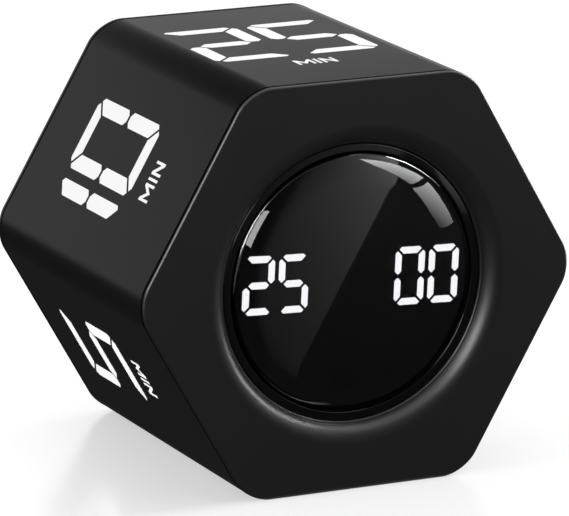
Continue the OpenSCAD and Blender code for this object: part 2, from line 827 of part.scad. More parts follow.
// Socket on the plane z = 0 that the end of the ribbon is pushed into
module ribbon_socket_solid() {
    difference() {
        translate([0, 0, ribbon_socket[2] / 2]) cube(ribbon_socket, center = true);
        translate([0, 0, ribbon_socket[2]])
            cube([ribbon_w + 2 * bearing_gap, ribbon_t + 2 * bearing_gap, 2 * ribbon_in], center = true);
    }
}

module ribbon_socket_front() {
    color("#d8d2c0") upright() translate([ribbon_at[0], ribbon_at[1], display_back])
        mirror([0, 0, 1]) ribbon_socket_solid();
}

module ribbon_socket_rear() {
    color("#d8d2c0") upright() translate([ribbon_at[0], ribbon_at[1], main_front]) ribbon_socket_solid();
}

module ribbon_cable() {
    low = main_front + ribbon_socket[2] - ribbon_in;
    high = display_back - ribbon_socket[2] + ribbon_in;
    color("#cfd4d8") upright() translate([ribbon_at[0] - ribbon_w / 2, ribbon_at[1] - ribbon_t / 2, low])
        cube([ribbon_w, ribbon_t, high - low]);
}

// Main board

module main_board() {
    color("#0d3d22") upright() translate([0, 0, main_back]) linear_extrude(main_board_t) difference() {
        circle(main_r);
        around(MAIN_SCREW_ANGLES, main_screw_reach) circle(d = board_screw_d + 2 * screw_gap);
    }
}

module main_board_screws() {
    color("silver") upright() around(MAIN_SCREW_ANGLES, main_screw_reach)
        translate([0, 0, main_front]) mirror([0, 0, 1])
            screw(board_screw_d, board_screw_length, board_screw_head_d, board_screw_head_h);
}

module on_main_front(place) {
    upright() translate([place[0], place[1], main_front]) children();
}

module controller_chip() {
    color("#1a1a1a") on_main_front(controller_at) chip(controller_size, controller_legs);
}

module tilt_sensor() {
    color("#262626") on_main_front(tilt_sensor_at) chip(sensor_size, sensor_legs);
}

module charger_chip() {
    color("#1a1a1a") on_main_front(charger_at) chip(charger_size, charger_legs);
}

module capacitors() {
    color("#b89a6a") for (place = CAPACITORS_AT) on_main_front(place)
        translate([0, 0, capacitor_size[2] / 2]) cube(capacitor_size, center = true);
}

module buzzer() {
    color("#161616") upright() translate([buzzer_at[0], buzzer_at[1], buzzer_top]) difference() {
        cylinder(r = buzzer_r, h = main_back - buzzer_top);
        translate([0, 0, -over]) cylinder(r = buzzer_hole_r, h = buzzer_hole_depth + over);
    }
}

module buzzer_ring() {
    color("#303030") upright() translate([buzzer_at[0], buzzer_at[1], rear_cover_top])
        linear_extrude(buzzer_ring_t) difference() {
            circle(buzzer_r);
            circle(buzzer_r - buzzer_ring_w);
        }
}

module charging_socket() {
    color("#c8c9cc") upright() translate([socket_at[0], socket_at[1], socket_recess]) difference() {
        linear_extrude(main_back - socket_recess) slot(socket_w, socket_h);
        translate([0, 0, -over]) linear_extrude(main_back - socket_recess - socket_floor + over)
            slot(socket_w - 2 * socket_wall, socket_h - 2 * socket_wall);
    }
}

module charging_tongue() {
    base = main_back - socket_floor;
    color("#1c1c1e") upright() translate([socket_at[0], socket_at[1], socket_recess + tongue_recess])
        linear_extrude(base - socket_recess - tongue_recess) square(tongue, center = true);
}

// Controls

module push_button() {
    color("#1f1f21") upright() translate([button_at[0], button_at[1], 0]) difference() {
        union() {
            translate([0, 0, button_recess])
                cylinder(r = button_r, h = button_flange_z + button_flange_t - button_recess);
            translate([0, 0, button_flange_z]) cylinder(r = button_r + button_flange_w, h = button_flange_t);
            translate([0, 0, button_flange_z])
                cylinder(d = stem_d, h = plunger_face - bearing_gap - button_flange_z);
        }
        translate([0, 0, button_recess + button_dish - button_dish_r]) sphere(button_dish_r);
    }
}

module button_switch() {
    color("#2c2c2e") upright() translate([button_at[0], button_at[1], switch_front]) difference() {
        translate([0, 0, switch_h / 2]) cube([switch_w, switch_w, switch_h], center = true);
        translate([0, 0, -over]) cylinder(d = plunger_d + 2 * bearing_gap,
            h = plunger_in + button_travel + plunger_room + over);
    }
}

module button_plunger() {
    color("#b03a2a") upright() translate([button_at[0], button_at[1], plunger_face])
        cylinder(d = plunger_d, h = plunger_out + plunger_in);
}

module slide_knob() {
    low = knob_recess;
    color("#3a3a3d") upright() translate([slide_at[0], slide_at[1], 0]) difference() {
        union() {
            translate([0, 0, low]) linear_extrude(knob_flange_z + knob_flange_t - low)
                square([knob_length, knob_width], center = true);
            translate([0, 0, knob_flange_z]) linear_extrude(knob_flange_t) square(knob_flange, center = true);
        }
        for (n = [-1, 0, 1]) translate([2 * n * knob_groove, 0, low])
            cube([knob_groove, knob_width + over, 2 * knob_groove_depth], center = true);
        translate([0, 0, knob_flange_z + knob_flange_t])
            cube([lever_w + 2 * bearing_gap, lever_w + 2 * bearing_gap, 2 * lever_grip], center = true);
    }
}

module slide_switch() {
    color("#c8c9cc") upright() translate([slide_at[0], slide_at[1], slide_front]) difference() {
        translate([0, 0, slide_body[2] / 2]) cube(slide_body, center = true);
        cube([lever_w + 2 * (knob_travel + lever_room), lever_w + 2 * lever_room,
            2 * (lever_in + lever_room)], center = true);
    }
}

module slide_lever() {
    low = knob_flange_z + knob_flange_t - lever_grip + bearing_gap;
    color("#1c1c1e") upright() translate([slide_at[0], slide_at[1], low])
        linear_extrude(slide_front + lever_in - low) square(lever_w, center = true);
}

// Power

module battery_cell() {
    color("#9aa0a6") upright() translate([0, cell_y + cell_t / 2, cell_z]) linear_extrude(cell_length)
        rounded_rectangle([cell_width, cell_t], cell_round);
}

module battery_pad() {
    size = [cell_width - 2 * cell_round - 2 * pad_margin, pad_t, cell_length - 2 * pad_margin];
    color("#404040") upright() translate([-size[0] / 2, floor_y, cell_z + pad_margin]) cube(size);
}

// Lead from the front end of the cell, round a bend and back over the cell to the main board
module lead(x) {
    turn_z = cell_front + lead_stub;
    upright() translate([x, lead_y, 0]) {
        translate([0, 0, main_front]) cylinder(r = lead_r, h = turn_z - main_front);
        translate([0, -lead_bend, turn_z]) rotate([0, -90, 0]) rotate([0, 0, -90])
            rotate_extrude(angle = 180) translate([lead_bend, 0]) circle(lead_r, $fn = edge_fn);
        translate([0, -2 * lead_bend, cell_front]) cylinder(r = lead_r, h = lead_stub);
    }
}

module lead_positive() {
    color("#b5231c") lead(lead_spread);
}

module lead_negative() {
    color("#161616") lead(-lead_spread);
}

// Vibration motor, its axis along x

module along_motor(x) {
    upright() translate([motor_at[0] + x, motor_at[1], motor_z]) rotate([0, 90, 0]) children();
}

module motor_can() {
    color("#b9bcc0") along_motor(0) difference() {
        cylinder(r = motor_r, h = motor_length);
        translate([0, 0, motor_length - shaft_in - bearing_gap])
            cylinder(r = shaft_r + bearing_gap, h = shaft_in + bearing_gap + over);
    }
}

module motor_holder() {
    size = [motor_length - 2 * holder_inset, motor_d + 2 * holder_side, motor_z + holder_rise - main_front];
    color("#3c3c3c") difference() {
        on_main_front(motor_at) translate([holder_inset, -size[1] / 2, 0]) cube(size);
        along_motor(-over) cylinder(r = motor_r, h = motor_length + 2 * over);
    }
}

module motor_shaft() {
    color("#d5d7da") along_motor(motor_length - shaft_in)
        cylinder(r = shaft_r, h = shaft_in + weight_gap + weight_t);
}

// Half-round weight that hangs below the shaft
module motor_weight() {
    color("#8f8a80") along_motor(motor_length + weight_gap) linear_extrude(weight_t) difference() {
        union() {
            circle(weight_hub_r);
            intersection() {
                circle(weight_r);
                translate([-weight_r, -2 * weight_r]) square(2 * weight_r);
            }
        }
        circle(shaft_r);
    }
}

hex_shell();
front_cover();
rear_cover();
cover_screws();
numerals(TOP_SIDE);  // numerals_top
numerals(UPPER_LEFT_SIDE);  // numerals_upper_left
numerals(LOWER_LEFT_SIDE);  // numerals_lower_left
numerals(BOTTOM_SIDE);  // numerals_bottom
numerals(LOWER_RIGHT_SIDE);  // numerals_lower_right
numerals(UPPER_RIGHT_SIDE);  // numerals_upper_right
lens();
lens_ring();
lens_adhesive();
display_housing();
segments_minutes();
segments_seconds();
segments_unlit();
segment_leds();
display_board();
display_screws();
display_driver();
ribbon_socket_front();
ribbon_cable();
ribbon_socket_rear();
main_board();
main_board_screws();
controller_chip();
tilt_sensor();
charger_chip();
capacitors();
buzzer();
buzzer_ring();
charging_socket();
charging_tongue();
push_button();
button_switch();
button_plunger();
slide_knob();
slide_switch();
slide_lever();
battery_cell();
battery_pad();
lead_positive();
lead_negative();
motor_can();
motor_holder();
motor_shaft();
motor_weight();
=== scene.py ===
"""Dresses the flip timer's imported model: case, covers, window, prints, controls, finishes and stage."""

import math

import bmesh
import bpy
from bpy.props import FloatProperty, FloatVectorProperty, PointerProperty
from mathutils import Euler, Matrix, Vector


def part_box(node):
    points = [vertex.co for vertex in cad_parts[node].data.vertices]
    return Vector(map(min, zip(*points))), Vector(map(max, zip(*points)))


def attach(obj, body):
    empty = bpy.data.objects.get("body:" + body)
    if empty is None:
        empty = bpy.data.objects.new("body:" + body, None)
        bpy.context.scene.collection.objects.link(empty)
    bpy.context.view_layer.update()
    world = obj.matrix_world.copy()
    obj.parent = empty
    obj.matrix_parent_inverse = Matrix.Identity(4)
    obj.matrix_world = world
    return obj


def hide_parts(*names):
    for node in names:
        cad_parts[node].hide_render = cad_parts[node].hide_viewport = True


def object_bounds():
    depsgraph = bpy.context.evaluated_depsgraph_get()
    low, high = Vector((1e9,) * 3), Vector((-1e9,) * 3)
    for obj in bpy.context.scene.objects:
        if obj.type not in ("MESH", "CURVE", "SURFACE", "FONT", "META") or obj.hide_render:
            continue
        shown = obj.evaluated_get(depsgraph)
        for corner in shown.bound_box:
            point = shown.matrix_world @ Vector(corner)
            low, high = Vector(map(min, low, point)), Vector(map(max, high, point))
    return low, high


bl_info = {
    "name": "Flip timer dresser",
    "version": (1, 0, 0),
    "blender": (4, 5, 0),
    "location": "View3D > Sidebar > Flip timer",
    "description": "Builds the visible pieces and finishes of a six-sided desk timer around its packed model",
    "category": "Object",
}

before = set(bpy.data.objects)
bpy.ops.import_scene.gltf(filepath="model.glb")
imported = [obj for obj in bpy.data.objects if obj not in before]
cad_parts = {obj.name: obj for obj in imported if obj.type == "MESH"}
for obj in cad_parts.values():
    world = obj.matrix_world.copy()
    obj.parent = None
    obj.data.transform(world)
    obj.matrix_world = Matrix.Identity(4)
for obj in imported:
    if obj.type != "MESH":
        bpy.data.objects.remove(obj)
CAD_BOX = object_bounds()

MM = 0.001
COS30 = math.cos(math.radians(30))
TAN30 = math.tan(math.radians(30))
FULL_TURN = 2 * math.pi
EPS = 1e-7

# Main sizes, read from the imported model
DEPTH = CAD_BOX[1].y - CAD_BOX[0].y
ACROSS = CAD_BOX[1].z - CAD_BOX[0].z
LENS_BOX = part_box("lens")
RING_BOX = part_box("lens_ring")
LENS_R = LENS_BOX[1].x
LENS_FRONT = DEPTH / 2 - LENS_BOX[0].y
LENS_BACK = DEPTH / 2 - LENS_BOX[1].y
RING_TOP = DEPTH / 2 - RING_BOX[0].y
RING_BACK = DEPTH / 2 - RING_BOX[1].y
RING_FLANGE_R = RING_BOX[1].x

# From the case's own axes (x right, y up, z from the rear face to the front face) to the frame
CASE = Matrix.Translation((0, DEPTH / 2, ACROSS / 2)) @ Matrix.Rotation(math.radians(90), 4, "X")

# Steps of the roundings
CORNER_STEPS = 14
EDGE_STEPS = 6
SMALL_STEPS = 3
ROUND_STEPS = 180
BUTTON_STEPS = 96
BOWL_STEPS = 8
HOLE_STEPS = 48
SOUND_STEPS = 24

SHARP_ANGLE = math.radians(32)
# Deeper than that share, the front cover's rim and its plug have painted shade
SHADE_PAINT_SHARE = 0.68  # share of the front edge's rounding above which the cover keeps its own finish

# Fixed sizes that follow the parts behind the rear cover
SCREW_ANGLES = (60, 120, 240, 300)
SCREW_TURN = 20
SEAT_RADIUS, SEAT_DEPTH, SCREW_BORE = 2.35 * MM, 1.4 * MM, 1.4 * MM
POCKET_WIDTH, POCKET_HEIGHT, POCKET_DEPTH = 12.8 * MM, 5.4 * MM, 0.9 * MM
WAY_WIDTH, WAY_HEIGHT = 8.8 * MM, 3.4 * MM
SOCKET_WIDTH, SOCKET_HEIGHT = 9.34 * MM, 3.66 * MM
SOCKET_WALL, SOCKET_END, SOCKET_LIP = 0.3 * MM, 1 * MM, 0.1 * MM
CONTROL_FACE, FLANGE_START = 0.15 * MM, 2.7 * MM


# Property groups

def length(label, text, value):
    """A length property, with its default given in millimetres."""
    return FloatProperty(name=label, description=text, default=value * MM, min=0, unit="LENGTH",
                         subtype="DISTANCE", precision=5)


def colour(label, text, value):
    """A linear colour property."""
    return FloatVectorProperty(name=label, description=text, default=value, size=3, min=0, max=1,
                               subtype="COLOR")


def plain(label, text, value, low=0.0, high=100.0):
    """A property without a unit."""
    return FloatProperty(name=label, description=text, default=value, min=low, max=high)


class TIMER_PG_case(bpy.types.PropertyGroup):
    """Sizes of the shell and its two covers"""

    corner_radius: length("Corner radius", "Radius of the six long corners", 6.2)
    wall: length("Wall", "Wall of the shell", 2.2)
    front_rim: length("Front rim", "Part of the front cover that shows beyond the shell", 0.6)
    front_edge: length("Front edge", "Rounding of the front cover's outer edge", 0.38)
    rear_rim: length("Rear rim", "Part of the rear cover that shows beyond the shell", 1.1)
    rear_edge: length("Rear edge", "Rounding of the rear cover's outer edge", 0.75)
    seam_width: length("Seam width", "Width of the shadow line between shell and cover", 0.34)
    seam_depth: length("Seam depth", "Depth of that shadow line", 0.9)
    seam_edge: length("Seam edge", "Rounding of the shell's two rims", 0.06)
    front_plug: length("Front plug", "Part of the front cover inside the shell", 2.8)
    rear_plug: length("Rear plug", "Part of the rear cover inside the shell", 1.5)
    plug_inset: length("Plug inset", "Distance from a side to the plug of a cover", 2.35)
    print_height: length("Print height", "How far the printed numerals stand above the shell", 0.03)
    hole_edge: length("Hole edge", "Rounding of the rear cover's openings", 0.16)


class TIMER_PG_window(bpy.types.PropertyGroup):
    """Sizes of the window in the front cover"""

    opening_radius: length("Opening radius", "Radius of the front cover's opening", 20.01)
    lip_radius: length("Lip radius", "Radius of the rolled lip", 2.9)
    lip_depth: length("Lip depth", "How deep the lip reaches into the opening", 1.85)
    bead_radius: length("Bead radius", "Radius of the bead inside the lip", 0.3)
    lens_margin: length("Lens margin", "Width of the margin that falls away around the lens", 4.4)
    lens_fall: length("Lens fall", "Radius of that fall", 13)
    lens_edge: length("Lens edge", "Rounding of the lens's rim", 0.6)
    ring_wall: length("Ring wall", "Wall of the ring around the lens", 1.25)
    ring_gap: length("Ring gap", "Clearance around the lens", 0.08)
    ring_flange: length("Ring flange", "Thickness of the ring's flange", 0.8)
    ring_edge: length("Ring edge", "Rounding of the ring's front edges", 0.25)


class TIMER_PG_controls(bpy.types.PropertyGroup):
    """Sizes of what the rear cover carries"""

    button_x: length("Button side", "Distance of the push button from the middle", 11.5)
    slide_x: length("Slide side", "Distance of the slide knob from the middle", 11)
    control_drop: length("Control drop", "Distance of both below the middle", 1.5)
    button_radius: length("Button radius", "Radius of the push button", 4)
    button_dish: length("Button dish", "Depth of the hollow in the push button", 0.3)
    control_gap: length("Control gap", "Clearance around the push button and the knob", 0.2)
    socket_drop: length("Socket drop", "Distance of the charging socket below the middle", 12)
    sound_rise: length("Sound rise", "Distance of the sound holes above the middle", 8.6)
    sound_ring: length("Sound ring", "Radius of the ring of sound holes", 2.5)
    sound_hole: length("Sound hole", "Radius of a sound hole", 0.6)
    screw_reach: length("Screw reach", "Distance of the cover screws from the middle", 28.3)


class TIMER_PG_finish(bpy.types.PropertyGroup):
    """Colours of the finishes"""

    case: colour("Case", "Matte plastic of the shell", (0.0042, 0.0042, 0.0044))
    # Painted shade: near-black colour for the shell's steps in the shadow line and for the front cover's rim
    # beside it
    seam: colour("Seam", "Plastic inside the shadow line", (0.001, 0.001, 0.001))
    cover: colour("Covers", "Matte plastic of the two covers", (0.0110, 0.0110, 0.0115))
    control: colour("Controls", "Matte plastic of the button and the knob", (0.022, 0.022, 0.024))
    printed: colour("Print", "Printed numerals and letters", (0.95, 0.95, 0.95))
    lit: colour("Lit strokes", "Light of the display", (1.0, 1.0, 1.0))
    lens: colour("Lens", "Smoke tint of the lens", (0.080, 0.080, 0.083))
    light: plain("Light strength", "Strength of the lit strokes behind the lens", 12.0)


class TIMER_PG_stage(bpy.types.PropertyGroup):
    """Camera, lamps and floor"""

    lens_mm: plain("Focal length", "Focal length of the camera in millimetres", 336.28, 10, 1000)
    key: plain("Key lamp", "Power of the lamp above, in watts", 0.6)
    fill: plain("Fill", "Strength of the light from all sides", 1.0)
    side: plain("Side cards", "Strength of the cards that the rounded edges mirror", 13.0)
    low_print: plain("Low prints", "Power of the lamps on the two prints that face down, in watts", 0.3)


# Mesh helpers

def verts_of(made):
    """Vertices in what an operator returns."""
    return [v for v in made["geom"] if isinstance(v, bmesh.types.BMVert)]


def edges_of(made):
    """Edges in what an operator returns."""
    return [e for e in made["geom"] if isinstance(e, bmesh.types.BMEdge)]


def at_level(part, z):
    """Whether an edge or face lies at one height."""
    return all(abs(v.co.z - z) < EPS for v in part.verts)


def level_edges(bm, z):
    """Open edges that lie at one height."""
    return [e for e in bm.edges if len(e.link_faces) < 2 and at_level(e, z)]


def level_face(bm, z):
    """Largest face at one height."""
    return max((f for f in bm.faces if at_level(f, z)), key=lambda f: f.calc_area())


def hexagon(bm, across, corner, z):
    """Face of a hexagon with rounded corners, two of them on the x axis."""
    place = Matrix.Translation((0, 0, z)) @ Matrix.Rotation(math.radians(30), 4, "Z")
    made = bmesh.ops.create_circle(bm, cap_ends=True, segments=6, radius=across / 2 / COS30, matrix=place)
    bmesh.ops.bevel(bm, geom=made["verts"], offset=corner * TAN30, offset_type="OFFSET",
                    segments=CORNER_STEPS, profile=0.5, affect="VERTICES", material=-1)
    return level_face(bm, z)


def raise_face(bm, face, height):
    """Extrudes one face along z and returns its new end."""
    z = face.verts[0].co.z
    joined = any(len(e.link_faces) > 1 for e in face.edges)
    made = bmesh.ops.extrude_face_region(bm, geom=[face], use_keep_orig=True)
    bmesh.ops.translate(bm, verts=verts_of(made), vec=(0, 0, height))
    if joined:
        bmesh.ops.delete(bm, geom=[face], context="FACES_ONLY")
    return level_face(bm, z + height)


def inset(bm, face, width):
    """Insets one face evenly and returns the inner face."""
    z = face.verts[0].co.z
    bmesh.ops.inset_region(bm, faces=[face], thickness=width, use_boundary=True, use_even_offset=True)
    return max((f for f in bm.faces if at_level(f, z)), key=lambda f: len(f.verts))


def round_edges(bm, edges, radius, steps):
    """Rounds some edges."""
    bmesh.ops.bevel(bm, geom=edges, offset=radius, offset_type="OFFSET", segments=steps, profile=0.5,
                    affect="EDGES", clamp_overlap=True, material=-1)


def lathe(bm, profile, steps=ROUND_STEPS, closed=False):
    """Spins a profile of (radius, z) points once around the z axis."""
    verts = [bm.verts.new((r, 0, z)) for r, z in profile]
    edges = [bm.edges.new(pair) for pair in zip(verts, verts[1:] + verts[:int(closed)])]
    bmesh.ops.spin(bm, geom=verts + edges, cent=(0, 0, 0), axis=(0, 0, 1), dvec=(0, 0, 0),
                   angle=FULL_TURN, steps=steps, use_merge=True, use_duplicate=False)
    bmesh.ops.remove_doubles(bm, verts=bm.verts, dist=EPS)


def arc(centre, radius, start, end, steps):
    """Points of an arc in the (radius, z) plane, angles in degrees."""
    turns = [math.radians(start + (end - start) * n / steps) for n in range(steps + 1)]
    return [(centre[0] + radius * math.cos(a), centre[1] + radius * math.sin(a)) for a in turns]


def edges_at(verts):
    """Edges that meet some vertices."""
    return list({e for v in verts for e in v.link_edges})


def ring_loop(bm, x, y, z, radius, steps=HOLE_STEPS):
    """Open loop of edges on a circle."""
    made = bmesh.ops.create_circle(bm, cap_ends=False, segments=steps, radius=radius,
                                   matrix=Matrix.Translation((x, y, z)))
    return edges_at(made["verts"])


def slot_loop(bm, x, y, z, width, height):
    """Open loop of edges on a slot with round ends."""
    turn = Matrix.Rotation(math.pi / HOLE_STEPS, 4, "Z")
    made = bmesh.ops.create_circle(bm, cap_ends=False, segments=HOLE_STEPS, radius=height / 2, matrix=turn)
    for side in (-1, 1):
        half = [v for v in made["verts"] if v.co.x * side > 0]
        bmesh.ops.translate(bm, verts=half, vec=(side * (width - height) / 2, 0, 0))
    bmesh.ops.translate(bm, verts=made["verts"], vec=(x, y, z))
    return edges_at(made["verts"])


def box_loop(bm, x, y, z, width, height):
    """Open loop of edges on a rectangle."""
    turn = Matrix.Rotation(math.pi / 4, 4, "Z")
    made = bmesh.ops.create_circle(bm, cap_ends=False, segments=4, radius=math.sqrt(0.5), matrix=turn)
    bmesh.ops.scale(bm, verts=made["verts"], vec=(width, height, 1))
    bmesh.ops.translate(bm, verts=made["verts"], vec=(x, y, z))
    return edges_at(made["verts"])


def sink_loop(bm, edges, depth):
    """Extrudes a loop of edges along z and returns the new loop."""
    made = bmesh.ops.extrude_edge_only(bm, edges=edges)
    verts = verts_of(made)
    bmesh.ops.translate(bm, verts=verts, vec=(0, 0, depth))
    inside = set(verts)
    return [e for e in edges_of(made) if all(v in inside for v in e.verts)]


def narrow_loop(bm, edges, x, y, share):
    """Extrudes a loop inwards about a point and returns the new loop."""
    loop = sink_loop(bm, edges, 0)
    verts = list({v for e in loop for v in e.verts})
    bmesh.ops.scale(bm, verts=verts, vec=(share, share, 1), space=Matrix.Translation((-x, -y, 0)))
    return loop


def fill(bm, edges, up):
    """Fills a flat outline with its holes."""
    bmesh.ops.triangle_fill(bm, use_beauty=True, use_dissolve=False, edges=edges, normal=(0, 0, up))


def prism(bm, outline, start, end):
    """Solid from an outline of (x, z) points, drawn out along y."""
    face = bm.faces.new([bm.verts.new((x, start, z)) for x, z in outline])
    made = bmesh.ops.extrude_face_region(bm, geom=[face], use_keep_orig=True)
    bmesh.ops.translate(bm, verts=verts_of(made), vec=(0, end - start, 0))


def piece(bm, name, finishes, body, nodes):
    """Puts a mesh into the frame as a piece that stands for CAD nodes, with its named finishes."""
    bmesh.ops.remove_doubles(bm, verts=bm.verts, dist=EPS)
    bm.transform(CASE)
    bmesh.ops.recalc_face_normals(bm, faces=bm.faces)
    mesh = bpy.data.meshes.new(name)
    bm.to_mesh(mesh)
    bm.free()
    mesh.shade_smooth()
    mesh.set_sharp_from_angle(angle=SHARP_ANGLE)
    for finish in finishes:
        mesh.materials.append(finish_of(finish))
    made = bpy.data.objects.new(name, mesh)
    bpy.context.scene.collection.objects.link(made)
    even = made.modifiers.new("Even shading", "WEIGHTED_NORMAL")
    even.keep_sharp = True
    even.weight = 80
    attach(made, body)
    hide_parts(*nodes)


# Finishes

def link(tree, source, target):
    """Joins two sockets."""
    tree.links.new(source, target)


def group(name, inputs, outputs):
    """New shader node group with named sockets, given as (name, type, default)."""
    made = bpy.data.node_groups.new(name, "ShaderNodeTree")
    for label, kind, value in inputs:
        socket = made.interface.new_socket(name=label, in_out="INPUT", socket_type=kind)
        socket.default_value = value
    for label, kind in outputs:
        made.interface.new_socket(name=label, in_out="OUTPUT", socket_type=kind)
    return made, made.nodes.new("NodeGroupInput"), made.nodes.new("NodeGroupOutput")


def reckon(tree, operation, first, second):
    """Math node on two sockets or numbers."""
    node = tree.nodes.new("ShaderNodeMath")
    node.operation = operation
    for place, value in enumerate((first, second)):
        if isinstance(value, (int, float)):
            node.inputs[place].default_value = value
        else:
            link(tree, value, node.inputs[place])
    return node.outputs[0]


def plus(tree, first, second):
    """Sum of two sockets or numbers."""
    return reckon(tree, "ADD", first, second)


def times(tree, first, second):
    """Product of two sockets or numbers."""
    return reckon(tree, "MULTIPLY", first, second)


def noise(tree, scale, detail, stretch=None):
    """Noise on Object coordinates, from 0 to 1."""
    where = tree.nodes.new("ShaderNodeTexCoord").outputs["Object"]
    if stretch:
        mapping = tree.nodes.new("ShaderNodeMapping")
        mapping.inputs["Scale"].default_value = stretch
        link(tree, where, mapping.inputs["Vector"])
        where = mapping.outputs["Vector"]
    node = tree.nodes.new("ShaderNodeTexNoise")
    node.inputs["Detail"].default_value = detail
    link(tree, where, node.inputs["Vector"])
    if isinstance(scale, (int, float)):
        node.inputs["Scale"].default_value = scale
    else:
        link(tree, scale, node.inputs["Scale"])
    return node.outputs["Fac"]


def tinted(tree, base, factor):
    """A colour times a number."""
    node = tree.nodes.new("ShaderNodeVectorMath")
    node.operation = "SCALE"
    link(tree, base, node.inputs[0])
    link(tree, factor, node.inputs["Scale"])
    return node.outputs[0]


FLOAT, COLOUR = "NodeSocketFloat", "NodeSocketColor"
GRAIN_OUT = [("Color", COLOUR), ("Roughness", FLOAT), ("Height", FLOAT)]


def vary(tree, given, out, pattern, height):
    """Lets a pattern vary the given tone and roughness, and puts out the height."""
    drift = reckon(tree, "SUBTRACT", pattern, 0.5)
    tone = plus(tree, times(tree, drift, given.outputs["Tone"]), 1.0)
    spread = times(tree, drift, given.outputs["Spread"])
    rough = plus(tree, spread, given.outputs["Roughness"])
    link(tree, tinted(tree, given.outputs["Color"], tone), out.inputs["Color"])
    link(tree, rough, out.inputs["Roughness"])
    link(tree, height, out.inputs["Height"])


def make_moulded_grain():
    """Fine grain of a moulded or painted surface, with a cloudy drift in tone."""
    tree, given, out = group(
        "moulded_grain",
        [("Color", COLOUR, (0.5, 0.5, 0.5, 1)), ("Grain", FLOAT, 4000.0), ("Tone", FLOAT, 0.1),
         ("Roughness", FLOAT, 0.5), ("Spread", FLOAT, 0.1)], GRAIN_OUT)
    fine = noise(tree, given.outputs["Grain"], 2)
    cloud = noise(tree, 60, 3)
    both = plus(tree, times(tree, fine, 0.6), times(tree, cloud, 0.4))
    vary(tree, given, out, both, fine)


def make_drawn_lines():
    """Drawing lines of rolled or turned metal."""
    tree, given, out = group(
        "drawn_lines",
        [("Color", COLOUR, (0.6, 0.6, 0.6, 1)), ("Tone", FLOAT, 0.2), ("Roughness", FLOAT, 0.3),
         ("Spread", FLOAT, 0.2)], GRAIN_OUT)
    lines = noise(tree, 1.0, 3, stretch=(900, 9000, 9000))
    vary(tree, given, out, lines, lines)


def blank_material(name):
    """New material, its node tree and its output."""
    made = bpy.data.materials.new(name)
    made.use_nodes = True
    tree = made.node_tree
    tree.nodes.clear()
    out = tree.nodes.new("ShaderNodeOutputMaterial")
    return made, tree, out


def start_finish(name, effect, values, bump=0.0, bump_depth=0.02 * MM):
    """Material whose colour, roughness and bump come from a node group. Returns it and its shader."""
    made, tree, out = blank_material("finish_" + name)
    shader = tree.nodes.new("ShaderNodeBsdfPrincipled")
    link(tree, shader.outputs["BSDF"], out.inputs["Surface"])
    grain = tree.nodes.new("ShaderNodeGroup")
    grain.node_tree = bpy.data.node_groups[effect]
    for label, value in values.items():
        grain.inputs[label].default_value = value
    link(tree, grain.outputs["Color"], shader.inputs["Base Color"])
    link(tree, grain.outputs["Roughness"], shader.inputs["Roughness"])
    if bump:
        relief = tree.nodes.new("ShaderNodeBump")
        relief.inputs["Strength"].default_value = bump
        relief.inputs["Distance"].default_value = bump_depth
        link(tree, grain.outputs["Height"], relief.inputs["Height"])
        link(tree, relief.outputs["Normal"], shader.inputs["Normal"])
    return made, shader


def rgba(values):
    """A colour with its alpha."""
    return (values[0], values[1], values[2], 1.0)


def moulded(name, base, roughness, grain=3500.0, tone=0.15, spread=0.12, bump=0.25, level=0.5):
    """Moulded plastic, rubber, paint or card."""
    made, shader = start_finish(name, "moulded_grain", {
        "Color": rgba(base), "Grain": grain, "Tone": tone, "Roughness": roughness, "Spread": spread}, bump)
    shader.inputs["Specular IOR Level"].default_value = level
    return made


def drawn(name, base, roughness):
    """Drawn or turned metal."""
    made, shader = start_finish(name, "drawn_lines", {
        "Color": rgba(base), "Tone": 0.25, "Roughness": roughness, "Spread": 0.2}, 0.15, 0.01 * MM)
    shader.inputs["Metallic"].default_value = 1.0
    return made


def smoked(name, tint):
    """Smoked clear plastic of the lens."""
    made, shader = start_finish(name, "moulded_grain", {
        "Color": rgba(tint), "Grain": 300.0, "Tone": 0.06, "Roughness": 0.010, "Spread": 0.002})
    shader.inputs["Transmission Weight"].default_value = 1.0
    shader.inputs["IOR"].default_value = 1.49
    return made


def lit(name, base, strength):
    """Diffuser that is lit from behind, a little uneven as such strokes are."""
    made, shader = start_finish(name, "moulded_grain", {
        "Color": rgba(base), "Grain": 700.0, "Tone": 0.12, "Roughness": 0.4, "Spread": 0.1})
    tree = made.node_tree
    grain = next(n for n in tree.nodes if n.type == "GROUP")
    link(tree, grain.outputs["Color"], shader.inputs["Emission Color"])
    shader.inputs["Emission Strength"].default_value = strength
    return made


def dress(node, finish):
    """Gives a CAD node that stays in view its finish."""
    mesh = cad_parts[node].data
    mesh.materials.clear()
    mesh.materials.append(finish)


def finish_of(name):
    """A finish that has been made already."""
    return bpy.data.materials["finish_" + name]


# Operators

class TIMER_OT_finishes(bpy.types.Operator):
    """Makes the finishes that the pieces share"""

    bl_idname = "flip_timer.finishes"
    bl_label = "Finishes"

    def execute(self, context):
        """Builds the node groups and the materials."""
        look = context.scene.timer_finish
        make_moulded_grain()
        make_drawn_lines()
        moulded("case_plastic", look.case, 0.30, level=0.11, bump=0.12)
        # Finish that paints shade into the shadow line and onto the front cover's rim beside it
        moulded("seam_shade", look.seam, 0.7, level=0.02)
        moulded("cover_plastic", look.cover, 0.36, level=0.25, bump=0.12)
        moulded("control_plastic", look.control, 0.5)
        moulded("print_white", look.printed, 0.55, grain=2500.0, tone=0.05, bump=0.1)
        moulded("gloss_black", (0.004, 0.004, 0.0042), 0.08, grain=900.0, spread=0.04, bump=0.0, level=0.15)
        smoked("smoked_lens", look.lens)
        lit("lit_white", look.lit, look.light)
        drawn("screw_steel", (0.56, 0.56, 0.58), 0.3)
        drawn("socket_steel", (0.62, 0.62, 0.64), 0.26)
        return {"FINISHED"}


